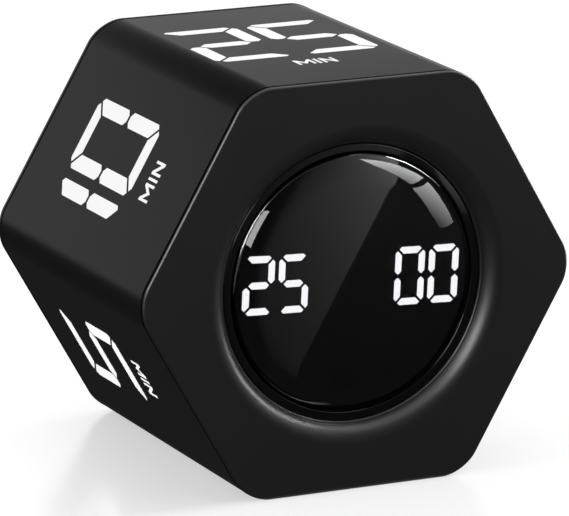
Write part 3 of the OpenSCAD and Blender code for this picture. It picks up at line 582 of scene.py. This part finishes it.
class TIMER_OT_shell(bpy.types.Operator):
    """Builds the hexagonal shell with its two necks"""

    bl_idname = "flip_timer.shell"
    bl_label = "Shell"

    def execute(self, context):
        """Extrudes the outline, steps in at both ends, paints shade on these steps and opens the middle."""
        case = context.scene.timer_case
        bm = bmesh.new()
        low = case.rear_rim + case.seam_width
        high = DEPTH - case.front_rim - case.seam_width
        across = ACROSS - 2 * case.print_height
        rear = hexagon(bm, across, case.corner_radius - case.print_height, low)
        raise_face(bm, rear, high - low)
        for z, outwards in ((low, -1), (high, 1)):
            neck = inset(bm, level_face(bm, z), case.seam_depth - case.print_height)
            end = raise_face(bm, neck, outwards * case.seam_width)
            inner = inset(bm, end, case.wall - case.seam_depth)
            bmesh.ops.delete(bm, geom=[inner], context="FACES_ONLY")
        # The steps at both ends take the painted shade of the shadow line as their second material
        for face in bm.faces:
            z = face.calc_center_median().z
            face.material_index = int(z < low + EPS or z > high - EPS)
        ends = level_edges(bm, case.rear_rim) + level_edges(bm, DEPTH - case.front_rim)
        bmesh.ops.bridge_loops(bm, edges=ends)
        rims = [e for e in bm.edges if len(e.link_faces) == 2 and e.calc_face_angle() > 1
                and (at_level(e, low) or at_level(e, high))
                and min(v.co.xy.length for v in e.verts) > across / 2 - EPS]
        round_edges(bm, rims, case.seam_edge, SMALL_STEPS)
        piece(bm, "case_shell", ["case_plastic", "seam_shade"], "case", ["hex_shell"])
        return {"FINISHED"}


def cover_plate(bm, case, face_z, rim, edge, plug):
    """Plate of a cover, rounded at its outer edge, with its plug. Returns the plug's end height."""
    inwards = 1 if face_z < DEPTH / 2 else -1
    seat = face_z + inwards * rim
    base = hexagon(bm, ACROSS, case.corner_radius, seat)
    raise_face(bm, base, -inwards * rim)
    round_edges(bm, list(level_face(bm, face_z).edges), edge, EDGE_STEPS)
    raise_face(bm, inset(bm, level_face(bm, seat), case.plug_inset), inwards * plug)
    end = seat + inwards * plug
    bmesh.ops.delete(bm, geom=[level_face(bm, face_z), level_face(bm, end)], context="FACES_ONLY")
    return end


class TIMER_OT_front_cover(bpy.types.Operator):
    """Builds the front cover with the rolled lip of its opening"""

    bl_idname = "flip_timer.front_cover"
    bl_label = "Front cover"

    def execute(self, context):
        """Makes the plate, paints shade on its rim beside the seam, spins the lip and joins the two."""
        case, window = context.scene.timer_case, context.scene.timer_window
        bm = bmesh.new()
        end = cover_plate(bm, case, DEPTH, case.front_rim, case.front_edge, case.front_plug)
        # Faces of the plate and plug deeper than this height get painted shade
        shade_painted_below = DEPTH - SHADE_PAINT_SHARE * case.front_edge
        for face in bm.faces:
            face.material_index = int(face.calc_center_median().z < shade_painted_below)
        inner = window.opening_radius + window.bead_radius
        below = window.lip_radius - window.lip_depth
        spread = math.sqrt(window.lip_radius ** 2 - below ** 2)
        end_angle = 180 - math.degrees(math.atan2(below, spread))
        lip = arc((inner + spread, DEPTH - window.lip_radius), window.lip_radius, 90, end_angle, 16)
        bead = arc((inner, RING_TOP), window.bead_radius, 90, 180, EDGE_STEPS)
        lathe(bm, lip + bead[1:] + [(window.opening_radius, end)])
        fill(bm, level_edges(bm, DEPTH), 1)
        fill(bm, level_edges(bm, end), -1)
        piece(bm, "front_cover_plate", ["cover_plastic", "seam_shade"], "case", ["front_cover"])
        return {"FINISHED"}


def on_ring(radius, degrees):
    """Point on a circle around the middle."""
    turn = math.radians(degrees)
    return radius * math.cos(turn), radius * math.sin(turn)


class TIMER_OT_rear_cover(bpy.types.Operator):
    """Builds the rear cover with its openings"""

    bl_idname = "flip_timer.rear_cover"
    bl_label = "Rear cover"

    def execute(self, context):
        """Makes the plate, sinks each opening and closes the face around them."""
        case, controls = context.scene.timer_case, context.scene.timer_controls
        bm = bmesh.new()
        end = cover_plate(bm, case, 0, case.rear_rim, case.rear_edge, case.rear_plug)
        drop = -controls.control_drop
        outline = level_edges(bm, 0)
        screws = [on_ring(controls.screw_reach, a) for a in SCREW_ANGLES]
        seats = [ring_loop(bm, x, y, 0, SEAT_RADIUS) for x, y in screws]
        button = ring_loop(bm, -controls.button_x, drop, 0, controls.button_radius + controls.control_gap)
        pocket = slot_loop(bm, controls.slide_x, drop, 0, POCKET_WIDTH, POCKET_HEIGHT)
        socket = slot_loop(bm, 0, -controls.socket_drop, 0, SOCKET_WIDTH, SOCKET_HEIGHT)
        holes = [(0, 0)] + [on_ring(controls.sound_ring, a) for a in range(0, 360, 60)]
        sounds = [ring_loop(bm, x, controls.sound_rise + y, 0, controls.sound_hole, SOUND_STEPS)
                  for x, y in holes]
        rims = seats + [button, pocket, socket] + sounds
        fill(bm, outline + [e for loop in rims for e in loop], -1)
        for (x, y), loop in zip(screws, seats):
            seat = sink_loop(bm, loop, SEAT_DEPTH)
            sink_loop(bm, narrow_loop(bm, seat, x, y, SCREW_BORE / SEAT_RADIUS), end - SEAT_DEPTH)
        for loop in [button, socket] + sounds:
            sink_loop(bm, loop, end)
        floor = sink_loop(bm, pocket, POCKET_DEPTH)
        way = box_loop(bm, controls.slide_x, drop, POCKET_DEPTH, WAY_WIDTH, WAY_HEIGHT)
        fill(bm, floor + way, -1)
        sink_loop(bm, way, end - POCKET_DEPTH)
        fill(bm, level_edges(bm, end), 1)
        round_edges(bm, [e for loop in rims for e in loop if e.is_valid], case.hole_edge, SMALL_STEPS)
        piece(bm, "rear_cover_plate", ["cover_plastic"], "case", ["rear_cover"])
        return {"FINISHED"}


class TIMER_OT_window(bpy.types.Operator):
    """Builds the lens and the ring around it"""

    bl_idname = "flip_timer.window"
    bl_label = "Window"

    def execute(self, context):
        """Spins both sections."""
        window = context.scene.timer_window
        thick = LENS_FRONT - LENS_BACK
        flat = LENS_R - window.lens_margin
        across = LENS_R - window.lens_edge - flat
        fall = window.lens_fall
        rise = thick - fall + math.sqrt((fall - window.lens_edge) ** 2 - across ** 2)
        turn = math.degrees(math.asin(across / (fall - window.lens_edge)))
        section = [(0, LENS_FRONT), (flat * 0.5, LENS_FRONT), (flat * 0.97, LENS_FRONT)]
        section += arc((flat, LENS_FRONT - fall), fall, 90, 90 - turn, 16)
        section += arc((LENS_R - window.lens_edge, LENS_BACK + rise), window.lens_edge, 90 - turn, 0, 8)[1:]
        chamfer = 0.05 * MM
        section += [(LENS_R, LENS_BACK + chamfer), (LENS_R - chamfer, LENS_BACK), (0, LENS_BACK)]
        bm = bmesh.new()
        lathe(bm, section)
        piece(bm, "window_lens", ["smoked_lens"], "case", ["lens"])
        bore = LENS_R + window.ring_gap
        outer = bore + window.ring_wall
        edge = window.ring_edge
        shoulder = RING_BACK + window.ring_flange
        ring = arc((outer - edge, RING_TOP - edge), edge, 0, 90, EDGE_STEPS)
        ring += arc((bore + edge, RING_TOP - edge), edge, 90, 180, EDGE_STEPS)
        ring += [(bore, RING_BACK), (RING_FLANGE_R, RING_BACK), (RING_FLANGE_R, shoulder), (outer, shoulder)]
        bm = bmesh.new()
        lathe(bm, ring, closed=True)
        piece(bm, "window_ring", ["gloss_black"], "case", ["lens_ring"])
        return {"FINISHED"}


class TIMER_OT_prints(bpy.types.Operator):
    """Finishes the printed numerals on the six sides"""

    bl_idname = "flip_timer.prints"
    bl_label = "Prints"

    def execute(self, context):
        """Gives the inlays their print."""
        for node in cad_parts:
            if node.startswith("numerals_"):
                dress(node, finish_of("print_white"))
        return {"FINISHED"}


class TIMER_OT_display(bpy.types.Operator):
    """Finishes the display behind the lens"""

    bl_idname = "flip_timer.display"
    bl_label = "Display"

    def execute(self, context):
        """Gives the strokes, the housing and the parts behind it their finishes."""
        dress("segments_minutes", finish_of("lit_white"))
        dress("segments_seconds", finish_of("lit_white"))
        dress("segments_unlit", moulded("dark_diffuser", (0.006, 0.006, 0.0065), 0.35, level=0.12))
        dress("display_housing", moulded("housing_black", (0.004, 0.004, 0.004), 0.6, level=0.12))
        dress("segment_leds", moulded("light_chip", (0.8, 0.72, 0.35), 0.35))
        dress("lens_adhesive", moulded("adhesive", (0.01, 0.01, 0.01), 0.7))
        return {"FINISHED"}


class TIMER_OT_controls(bpy.types.Operator):
    """Builds the push button and the slide knob"""

    bl_idname = "flip_timer.controls"
    bl_label = "Controls"

    def execute(self, context):
        """Spins the button and draws out the ribbed knob."""
        controls = context.scene.timer_controls
        radius, edge, margin, stem = controls.button_radius, 0.25 * MM, 0.5 * MM, 1.5 * MM
        turn = CONTROL_FACE + edge
        shares = [n / BOWL_STEPS for n in range(BOWL_STEPS + 1)]
        profile = [((radius - margin) * s, CONTROL_FACE + controls.button_dish * (1 - s ** 2)) for s in shares]
        profile += [(r, 2 * turn - z) for r, z in arc((radius - edge, turn), edge, 90, 0, EDGE_STEPS)]
        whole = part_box("push_button")
        flange, flange_end, back = (whole[1].x - whole[0].x) / 2, 3.3 * MM, DEPTH / 2 - whole[0].y
        profile += [(radius, FLANGE_START), (flange, FLANGE_START), (flange, flange_end), (stem, flange_end),
                    (stem, back), (0, back)]
        bm = bmesh.new()
        lathe(bm, profile, BUTTON_STEPS)
        bmesh.ops.translate(bm, verts=bm.verts, vec=(-controls.button_x, -controls.control_drop, 0))
        piece(bm, "button_cap", ["control_plastic"], "button", ["push_button"])
        bm = bmesh.new()
        half, deep, pitch, groove, floor = 2.2 * MM, 1.5 * MM, 1.0 * MM, 0.25 * MM, 0.5 * MM
        outline = [(-half, FLANGE_START), (-half, CONTROL_FACE)]
        for middle in (-pitch, 0, pitch):
            left, right = middle - groove, middle + groove
            outline += [(left, CONTROL_FACE), (left, floor), (right, floor), (right, CONTROL_FACE)]
        outline += [(half, CONTROL_FACE), (half, FLANGE_START)]
        prism(bm, outline, -deep, deep)
        ribs = [e for e in bm.edges if max(v.co.z for v in e.verts) < floor + EPS]
        round_edges(bm, ribs, 0.1 * MM, 2)
        wide, high, end = 6.4 * MM, 2.4 * MM, 3.4 * MM
        prism(bm, [(-wide, FLANGE_START), (wide, FLANGE_START), (wide, end), (-wide, end)], -high, high)
        bmesh.ops.translate(bm, verts=bm.verts, vec=(controls.slide_x, -controls.control_drop, 0))
        piece(bm, "slide_knob_cap", ["control_plastic"], "slide", ["slide_knob"])
        return {"FINISHED"}


class TIMER_OT_screws(bpy.types.Operator):
    """Builds the four screws of the rear cover"""

    bl_idname = "flip_timer.screws"
    bl_label = "Cover screws"

    def execute(self, context):
        """Spins a screw, sinks the cross into its head and repeats it."""
        controls = context.scene.timer_controls
        bm = bmesh.new()
        head, shank, point, tip, top = 2.15 * MM, 1.25 * MM, 1.0 * MM, 9 * MM, 0.2 * MM
        crown = [(1.72, 0), (1.95, 0.06), (2.09, 0.2), (2.15, 0.42)]
        profile = [(r * MM, top + fall * MM) for r, fall in crown]
        profile += [(head, SEAT_DEPTH), (shank, SEAT_DEPTH), (shank, 8.8 * MM), (point, tip), (0, tip)]
        lathe(bm, profile, HOLE_STEPS)
        long, short, sunk, taper = 1.29 * MM, 0.34 * MM, 0.5 * MM, 0.8
        quarter = [(long, short), (short, short), (short, long)]
        points = [Matrix.Rotation(math.radians(90 * n), 2) @ Vector(p) for n in range(4) for p in quarter]
        corners = [bm.verts.new((p.x, p.y, top)) for p in points]
        cross = [bm.edges.new(pair) for pair in zip(corners, corners[1:] + corners[:1])]
        fill(bm, level_edges(bm, top), -1)
        fill(bm, narrow_loop(bm, sink_loop(bm, cross, sunk), 0, 0, taper), -1)
        first = list(bm.verts)
        single = first + list(bm.edges) + list(bm.faces)
        for angle in SCREW_ANGLES:
            copy = verts_of(bmesh.ops.duplicate(bm, geom=single))
            turn = Matrix.Rotation(math.radians(angle + SCREW_TURN), 3, "Z")
            bmesh.ops.rotate(bm, verts=copy, cent=(0, 0, 0), matrix=turn)
            bmesh.ops.translate(bm, verts=copy, vec=(*on_ring(controls.screw_reach, angle), 0))
        bmesh.ops.delete(bm, geom=first, context="VERTS")
        piece(bm, "cover_screw_set", ["screw_steel"], "case", ["cover_screws"])
        return {"FINISHED"}


class TIMER_OT_socket(bpy.types.Operator):
    """Builds the charging socket's shell"""

    bl_idname = "flip_timer.socket"
    bl_label = "Charging socket"

    def execute(self, context):
        """Hollows the shell and rounds its lip."""
        controls = context.scene.timer_controls
        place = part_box("charging_socket")
        size, y, low = place[1] - place[0], -controls.socket_drop, DEPTH / 2 - place[1].y
        bm = bmesh.new()
        outside = slot_loop(bm, 0, y, low, size.x, size.z)
        fill(bm, sink_loop(bm, outside, size.y), 1)
        bore = slot_loop(bm, 0, y, low, size.x - 2 * SOCKET_WALL, size.z - 2 * SOCKET_WALL)
        fill(bm, outside + bore, -1)
        fill(bm, sink_loop(bm, bore, size.y - SOCKET_END), -1)
        round_edges(bm, outside + bore, SOCKET_LIP, SMALL_STEPS)
        piece(bm, "socket_shell", ["socket_steel"], "case", ["charging_socket"])
        return {"FINISHED"}


# Finishes inside the case: colour, roughness, whether it is metal, and the nodes that have it
INSIDE = {
    "tongue_black": ((0.02, 0.02, 0.02), 0.5, False, ["charging_tongue"]),
    "board_green": ((0.012, 0.075, 0.035), 0.35, False, ["display_board", "main_board"]),
    "inner_screw_steel": ((0.56, 0.56, 0.58), 0.3, True, ["display_screws", "main_board_screws"]),
    "chip_epoxy": ((0.018, 0.018, 0.019), 0.55, False,
                   ["display_driver", "controller_chip", "tilt_sensor", "charger_chip"]),
    "socket_ivory": ((0.72, 0.68, 0.56), 0.5, False, ["ribbon_socket_front", "ribbon_socket_rear"]),
    "ribbon_film": ((0.66, 0.69, 0.72), 0.3, False, ["ribbon_cable"]),
    "capacitor_tan": ((0.42, 0.28, 0.13), 0.45, False, ["capacitors"]),
    "buzzer_black": ((0.015, 0.015, 0.015), 0.5, False, ["buzzer"]),
    "foam_grey": ((0.06, 0.06, 0.06), 0.85, False, ["buzzer_ring", "battery_pad"]),
    "switch_plastic": ((0.03, 0.03, 0.03), 0.5, False, ["button_switch"]),
    "plunger_red": ((0.32, 0.03, 0.02), 0.45, False, ["button_plunger"]),
    "switch_steel": ((0.6, 0.6, 0.6), 0.3, True, ["slide_switch"]),
    "lever_black": ((0.02, 0.02, 0.02), 0.5, False, ["slide_lever"]),
    "cell_foil": ((0.55, 0.57, 0.6), 0.35, True, ["battery_cell"]),
    "lead_red": ((0.45, 0.02, 0.015), 0.5, False, ["lead_positive"]),
    "lead_black": ((0.015, 0.015, 0.015), 0.5, False, ["lead_negative"]),
    "motor_steel": ((0.58, 0.59, 0.6), 0.25, True, ["motor_can", "motor_shaft"]),
    "holder_rubber": ((0.035, 0.035, 0.035), 0.8, False, ["motor_holder"]),
    "weight_metal": ((0.36, 0.35, 0.33), 0.5, True, ["motor_weight"]),
}


class TIMER_OT_inside(bpy.types.Operator):
    """Finishes the boards, the power and the other pieces inside the case"""

    bl_idname = "flip_timer.inside"
    bl_label = "Inside"

    def execute(self, context):
        """Makes each finish once and gives it to its nodes."""
        for name, (base, roughness, metal, nodes) in INSIDE.items():
            made = drawn(name, base, roughness) if metal else moulded(name, base, roughness)
            for node in nodes:
                dress(node, made)
        return {"FINISHED"}


# Stage

CAMERA_AT = (-0.319259, -0.668321, 0.216063)
CAMERA_TURN = (75.7144, -0.3453, -25.5061)
CARD_REACH = 0.040
WINDOW_PIECES = ("window_lens", "window_ring")
COVER_PIECES = ("front_cover_plate",)
FRONT_PIECES = WINDOW_PIECES + COVER_PIECES
LOW_PRINTS = {"numerals_lower_left": -1, "numerals_lower_right": 1}
BACK_GREY = 0.78
PANE_LEAST = 0.9

# The floor's matte tone, its own light, what is added for the eye, and its gloss in front and to the rear
FLOOR_MATTE, FLOOR_GLOW, FLOOR_SEEN, FLOOR_ROUGH = 0.30, 0.30, 0.46, 0.22
FLOOR_GLOSS, FLOOR_GLOSS_REAR = 0.10, 0.17
FLAG_HEIGHT, STREAK_HEIGHT = 0.4 * MM, 0.6 * MM

# Card that the lens mirrors, in mm: exponents (start, per x, per y) of its two sides, the heights where
# they stop growing, the fades at the left and the foot, and the slanted line between the sides
LIGHT_SIDE, DARK_SIDE = (-0.8, 0.0735, 0.0328), (-3.2, 0.0, 0.072)
LIGHT_TOP, DARK_TOP = 18.0, 10.0
LIGHT_LEFT, LIGHT_FOOT = (-27.0, -17.0), (-36.0, -26.0)
SLANT, SLANT_EDGE = (0.0, 0.8952, -0.4457), (-1.95, -1.55)

# Panes that the window mirrors: corners on the screen and strength (start, per x, per y), in mm
PANES = {
    "window_pane_a": ([(2.2, 42.0), (5.5, 34), (13.2, 22.3), (24.3, 30.3), (13.5, 36.8)], (-13.4, 0.218, 0.62)),
    "window_pane_b": ([(25.2, 28.2), (12.5, 20.1), (13, 16), (13.2, 11.5), (15, 9.6), (29.2, 14)],
                      (-4.4, 0.05, 0.43)),
    "rim_pane": ([(27, 57), (39, 48), (48, 32), (80, 45), (65, 71), (42, 85)], (90.0, 0, 0)),
    "window_pane_c": ([(-34, 27.5), (-46.5, 35.5), (-54, 19.5), (-39.5, 13.5)], (9.0, 0, 0)),
}

# Cards that the front mirrors: middle, point it faces, size, share of the side strength, pieces
SIDE_CARDS = {
    "right": ((0.15, -0.022, 0.076), (-0.014, -0.025, 0.015), (0.11, 0.13), 1.9, FRONT_PIECES),
    "left": ((-0.107, -0.105, 0.098), (0.0, -0.026, 0.03), (0.10, 0.09), 1.7, FRONT_PIECES),
    "top": ((0.06, -0.045, 0.2), (0, -0.025, 0.008), (0.2, 0.13), 0.36, FRONT_PIECES),
    "corner": ((-0.02, -0.065, 0.115), (-0.009, -0.0245, 0.045), (0.12, 0.08), 0.2, COVER_PIECES),
}


def emitter(name, strength):
    """Emission material; strength is a number, or a function that makes it in the node tree."""
    made, tree, out = blank_material(name)
    emit = tree.nodes.new("ShaderNodeEmission")
    link(tree, emit.outputs[0], out.inputs["Surface"])
    if callable(strength):
        link(tree, strength(tree), emit.inputs["Strength"])
    else:
        emit.inputs["Strength"].default_value = strength
    return made


def stage_mesh(name, bm, material, place=None):
    """Puts a mesh on the stage."""
    mesh = bpy.data.meshes.new(name)
    bm.to_mesh(mesh)
    bm.free()
    mesh.materials.append(material)
    made = bpy.data.objects.new(name, mesh)
    bpy.context.scene.collection.objects.link(made)
    if place:
        made.matrix_world = place
    return made


def reflected_only(thing):
    """Lets a card show in reflections and nowhere else."""
    thing.visible_camera = thing.visible_diffuse = thing.visible_transmission = False
    thing.visible_shadow = thing.visible_volume_scatter = False


def facing(middle, toward):
    """Place of a card whose x runs to the right and y up, as seen from the point it faces."""
    away = (Vector(middle) - Vector(toward)).normalized()
    side = Vector((0, 0, 1)).cross(away).normalized()
    turn = Matrix((side, -side.cross(away), away)).transposed()
    return Matrix.Translation(middle) @ turn.to_4x4()


def lights_only(thing, names):
    """Keeps the light of a card to some pieces."""
    label = "lit_" + "_".join(names)
    chosen = bpy.data.collections.get(label) or bpy.data.collections.new(label)
    for name in names:
        if name not in chosen.objects:
            chosen.objects.link(bpy.data.objects[name])
    thing.light_linking.receiver_collection = chosen


def card(name, place, size, material, names=()):
    """Rectangular card, for all pieces or for the ones named."""
    bm = bmesh.new()
    bmesh.ops.create_grid(bm, x_segments=1, y_segments=1, size=0.5)
    bmesh.ops.scale(bm, verts=bm.verts, vec=(size[0], size[1], 1))
    made = stage_mesh(name, bm, material, place)
    reflected_only(made)
    if names:
        lights_only(made, names)


def pane(name, place, corners, strength):
    """Flat pane that only the window mirrors."""
    bm = bmesh.new()
    bm.faces.new([bm.verts.new((x * MM, y * MM, -0.3 * MM)) for x, y in corners])

    def build(tree):
        x, y = plane_mm(tree)
        return reckon(tree, "MAXIMUM", plane(tree, x, y, *strength), PANE_LEAST)

    made = stage_mesh(name, bm, emitter(name + "_light", build), place)
    reflected_only(made)
    lights_only(made, WINDOW_PIECES)


def plane_mm(tree):
    """Object x and y in millimetres."""
    where = tree.nodes.new("ShaderNodeSeparateXYZ")
    link(tree, tree.nodes.new("ShaderNodeTexCoord").outputs["Object"], where.inputs[0])
    return reckon(tree, "DIVIDE", where.outputs["X"], MM), reckon(tree, "DIVIDE", where.outputs["Y"], MM)


def plane(tree, x, y, start, by_x, by_y):
    """start + by_x * x + by_y * y."""
    tilt = plus(tree, times(tree, x, by_x), times(tree, y, by_y))
    return plus(tree, tilt, start)


def ramp(tree, value, low, high):
    """Smooth step from 0 at low to 1 at high."""
    step = tree.nodes.new("ShaderNodeMapRange")
    step.interpolation_type = "SMOOTHSTEP"
    step.inputs["From Min"].default_value = low
    step.inputs["From Max"].default_value = high
    link(tree, value, step.inputs["Value"])
    return step.outputs[0]


def lens_reflection(tree):
    """What the lens mirrors: a soft gradient up to a straight slanted edge, then dark."""
    x, y = plane_mm(tree)
    held = reckon(tree, "MINIMUM", y, LIGHT_TOP)
    low = reckon(tree, "MINIMUM", y, DARK_TOP)
    light = reckon(tree, "EXPONENT", plane(tree, x, held, *LIGHT_SIDE), 0)
    light = times(tree, light, ramp(tree, x, *LIGHT_LEFT))
    light = times(tree, light, ramp(tree, y, *LIGHT_FOOT))
    dark = reckon(tree, "EXPONENT", plane(tree, x, low, *DARK_SIDE), 0)
    beyond = ramp(tree, plane(tree, x, y, *SLANT), *SLANT_EDGE)
    kept = times(tree, light, reckon(tree, "SUBTRACT", 1.0, beyond))
    return plus(tree, kept, times(tree, dark, beyond))


def seen_directly(tree):
    """1 for camera, glossy and transmission rays, else 0."""
    path = tree.nodes.new("ShaderNodeLightPath").outputs
    both = reckon(tree, "MAXIMUM", path["Is Camera Ray"], path["Is Glossy Ray"])
    return reckon(tree, "MAXIMUM", both, path["Is Transmission Ray"])


def shader_node(tree, kind, *sources):
    """Shader node whose inputs are fed in order."""
    node = tree.nodes.new(kind)
    for socket, source in zip(node.inputs, sources):
        link(tree, source, socket)
    return node.outputs[0]


def make_floor():
    """Pale floor that is white to the eye, keeps the shadow and mirrors the case faintly."""
    made, tree, out = blank_material("floor_white")
    matte = tree.nodes.new("ShaderNodeBsdfDiffuse")
    matte.inputs["Color"].default_value = (FLOOR_MATTE, FLOOR_MATTE, FLOOR_MATTE, 1)
    gloss = tree.nodes.new("ShaderNodeBsdfGlossy")
    gloss.inputs["Color"].default_value = (1, 1, 1, 1)
    gloss.inputs["Roughness"].default_value = FLOOR_ROUGH
    glow = tree.nodes.new("ShaderNodeEmission")
    x, y = plane_mm(tree)
    square = plus(tree, times(tree, x, x), times(tree, y, y))
    reach = reckon(tree, "SQRT", square, 0)
    rear = times(tree, ramp(tree, y, -29.0, -23.0), FLOOR_GLOSS_REAR)
    share = plus(tree, rear, FLOOR_GLOSS)
    near = times(tree, share, ramp(tree, reach, 75.0, 43.0))
    added = reckon(tree, "SUBTRACT", FLOOR_SEEN, times(tree, near, BACK_GREY))
    direct = times(tree, seen_directly(tree), added)
    link(tree, plus(tree, direct, FLOOR_GLOW), glow.inputs["Strength"])
    clear = tree.nodes.new("ShaderNodeEmission")
    clear.inputs["Strength"].default_value = 0.0
    mirror = shader_node(tree, "ShaderNodeMixShader", near, clear.outputs[0], gloss.outputs[0])
    surface = shader_node(tree, "ShaderNodeAddShader", matte.outputs[0], mirror)
    link(tree, shader_node(tree, "ShaderNodeAddShader", surface, glow.outputs[0]), out.inputs["Surface"])
    bm = bmesh.new()
    bmesh.ops.create_grid(bm, x_segments=1, y_segments=1, size=3)
    stage_mesh("floor", bm, made)


def faded(tree, along, reach):
    """1 in the middle of a card, falling to 0 at the reach."""
    share = reckon(tree, "DIVIDE", along, reach)
    return reckon(tree, "MAXIMUM", reckon(tree, "SUBTRACT", 1.0, times(tree, share, share)), 0.0)


def floor_flag(name, low, high, strength, height=FLAG_HEIGHT, names=()):
    """Card on the floor that only what stands above it mirrors. One for chosen pieces has soft edges."""
    wide, deep = ((b - a) / 2 / MM for a, b in zip(low, high))

    def soft(tree):
        x, y = plane_mm(tree)
        share = times(tree, faded(tree, x, wide), faded(tree, y, deep))
        return times(tree, share, strength)

    made = emitter(name + "_tone", soft if names else strength)
    tree = made.node_tree
    out = next(n for n in tree.nodes if n.type == "OUTPUT_MATERIAL")
    emit = next(n for n in tree.nodes if n.type == "EMISSION")
    behind = tree.nodes.new("ShaderNodeNewGeometry").outputs["Backfacing"]
    clear = shader_node(tree, "ShaderNodeBsdfTransparent")
    one_sided = shader_node(tree, "ShaderNodeMixShader", behind, emit.outputs[0], clear)
    link(tree, one_sided, out.inputs["Surface"])
    middle = ((low[0] + high[0]) / 2, (low[1] + high[1]) / 2, height)
    card(name, Matrix.Translation(middle), (high[0] - low[0], high[1] - low[1]), made, names)


def area_lamp(name, place, aim, size, power):
    """Soft rectangular lamp."""
    lamp = bpy.data.lights.new(name, "AREA")
    lamp.shape = "RECTANGLE"
    lamp.size, lamp.size_y = size
    lamp.energy = power
    made = bpy.data.objects.new(name, lamp)
    bpy.context.scene.collection.objects.link(made)
    made.location = place
    made.rotation_euler = (Vector(aim) - Vector(place)).to_track_quat("-Z", "Y").to_euler()
    made.visible_glossy = False
    return made


class TIMER_OT_stage(bpy.types.Operator):
    """Sets the floor, the lamps, the cards and the camera"""

    bl_idname = "flip_timer.stage"
    bl_label = "Stage"

    def execute(self, context):
        """Makes the stage in the frame's metres."""
        scene, stage = context.scene, context.scene.timer_stage
        scene.view_settings.view_transform = "Standard"
        make_floor()
        world = bpy.data.worlds.new("studio")
        scene.world = world
        world.use_nodes = True
        tree = world.node_tree
        ground = next(n for n in tree.nodes if n.type == "BACKGROUND")
        ground.inputs["Color"].default_value = (1, 1, 1, 1)
        seen = seen_directly(tree)
        rest = times(tree, reckon(tree, "SUBTRACT", 1.0, seen), stage.fill)
        link(tree, plus(tree, seen, rest), ground.inputs["Strength"])
        middle = Vector((0, 0, ACROSS / 2))
        area_lamp("key_lamp", (-0.05, 0.05, 0.6), middle, (0.5, 0.5), stage.key)
        for node, side in LOW_PRINTS.items():
            place, aim = (0.22 * side, -0.05, 0.02), (0.025 * side, 0, 0.015)
            lamp = area_lamp(node + "_lamp", place, aim, (0.1, 0.06), stage.low_print)
            lights_only(lamp, (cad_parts[node].name,))
        window = Vector((0, DEPTH / 2 - LENS_FRONT, ACROSS / 2))
        sight = (window - Vector(CAMERA_AT)).normalized()
        mirrored = Vector((sight.x, -sight.y, sight.z))
        screen = facing(window + CARD_REACH * mirrored, window)
        card("lens_card", screen, (0.112, 0.104), emitter("lens_card_light", lens_reflection), WINDOW_PIECES)
        for name, (corners, strength) in PANES.items():
            pane(name, screen, corners, strength)
        for name, (at, aim, size, share, names) in SIDE_CARDS.items():
            card(name + "_card", facing(at, aim), size, emitter(name + "_light", share * stage.side), names)
        band = facing((-0.017, 0.13, 0.148), (-0.015, 0, 0.057))
        card("band_card", band, (0.4, 0.09), emitter("band_dark", 0.0))
        back = facing((0, 0.32, 0.09), (0, 0, 0.09))
        card("back_card", back, (1.4, 0.26), emitter("back_grey", BACK_GREY))
        floor_flag("rear_flag", (-0.3, -0.03), (0.4, 0.5), 0.05)
        floor_flag("front_flag", (-0.12, -0.3), (0.25, -0.03), 0.02)
        floor_flag("lens_streak", (-0.021, -0.0369), (0.003, -0.0351), 2.6, STREAK_HEIGHT, WINDOW_PIECES)
        camera = bpy.data.objects.new("camera", bpy.data.cameras.new("camera"))
        scene.collection.objects.link(camera)
        camera.data.lens = stage.lens_mm
        camera.data.sensor_width = 36
        camera.data.clip_start = 0.01
        camera.location = CAMERA_AT
        camera.rotation_euler = Euler([math.radians(a) for a in CAMERA_TURN], "XYZ")
        scene.camera = camera
        return {"FINISHED"}


STEPS = (TIMER_OT_finishes, TIMER_OT_shell, TIMER_OT_front_cover, TIMER_OT_rear_cover, TIMER_OT_window,
         TIMER_OT_prints, TIMER_OT_display, TIMER_OT_controls, TIMER_OT_screws, TIMER_OT_socket,
         TIMER_OT_inside, TIMER_OT_stage)


class TIMER_PT_pieces(bpy.types.Panel):
    """Lists the steps that dress the timer"""

    bl_idname = "TIMER_PT_pieces"
    bl_label = "Flip timer"
    bl_space_type = "VIEW_3D"
    bl_region_type = "UI"
    bl_category = "Flip timer"

    def draw(self, context):
        """Shows a button for each step and the values behind it."""
        for step in STEPS:
            self.layout.operator(step.bl_idname)
        for name in GROUPS:
            values = getattr(context.scene, name)
            for key in values.bl_rna.properties.keys():
                if key not in ("rna_type", "name"):
                    self.layout.prop(values, key)


GROUPS = {"timer_case": TIMER_PG_case, "timer_window": TIMER_PG_window, "timer_controls": TIMER_PG_controls,
          "timer_finish": TIMER_PG_finish, "timer_stage": TIMER_PG_stage}


def register():
    """Registers the classes and their values."""
    for kind in (*GROUPS.values(), *STEPS, TIMER_PT_pieces):
        bpy.utils.register_class(kind)
    for name, kind in GROUPS.items():
        setattr(bpy.types.Scene, name, PointerProperty(type=kind))


def unregister():
    """Takes the classes and their values out again."""
    for name in GROUPS:
        delattr(bpy.types.Scene, name)
    for kind in reversed((*GROUPS.values(), *STEPS, TIMER_PT_pieces)):
        bpy.utils.unregister_class(kind)


def main():
    """Runs every step in order."""
    register()
    for step in STEPS:
        family, name = step.bl_idname.split(".")
        getattr(getattr(bpy.ops, family), name)()


if __name__ == "__main__":
    main()
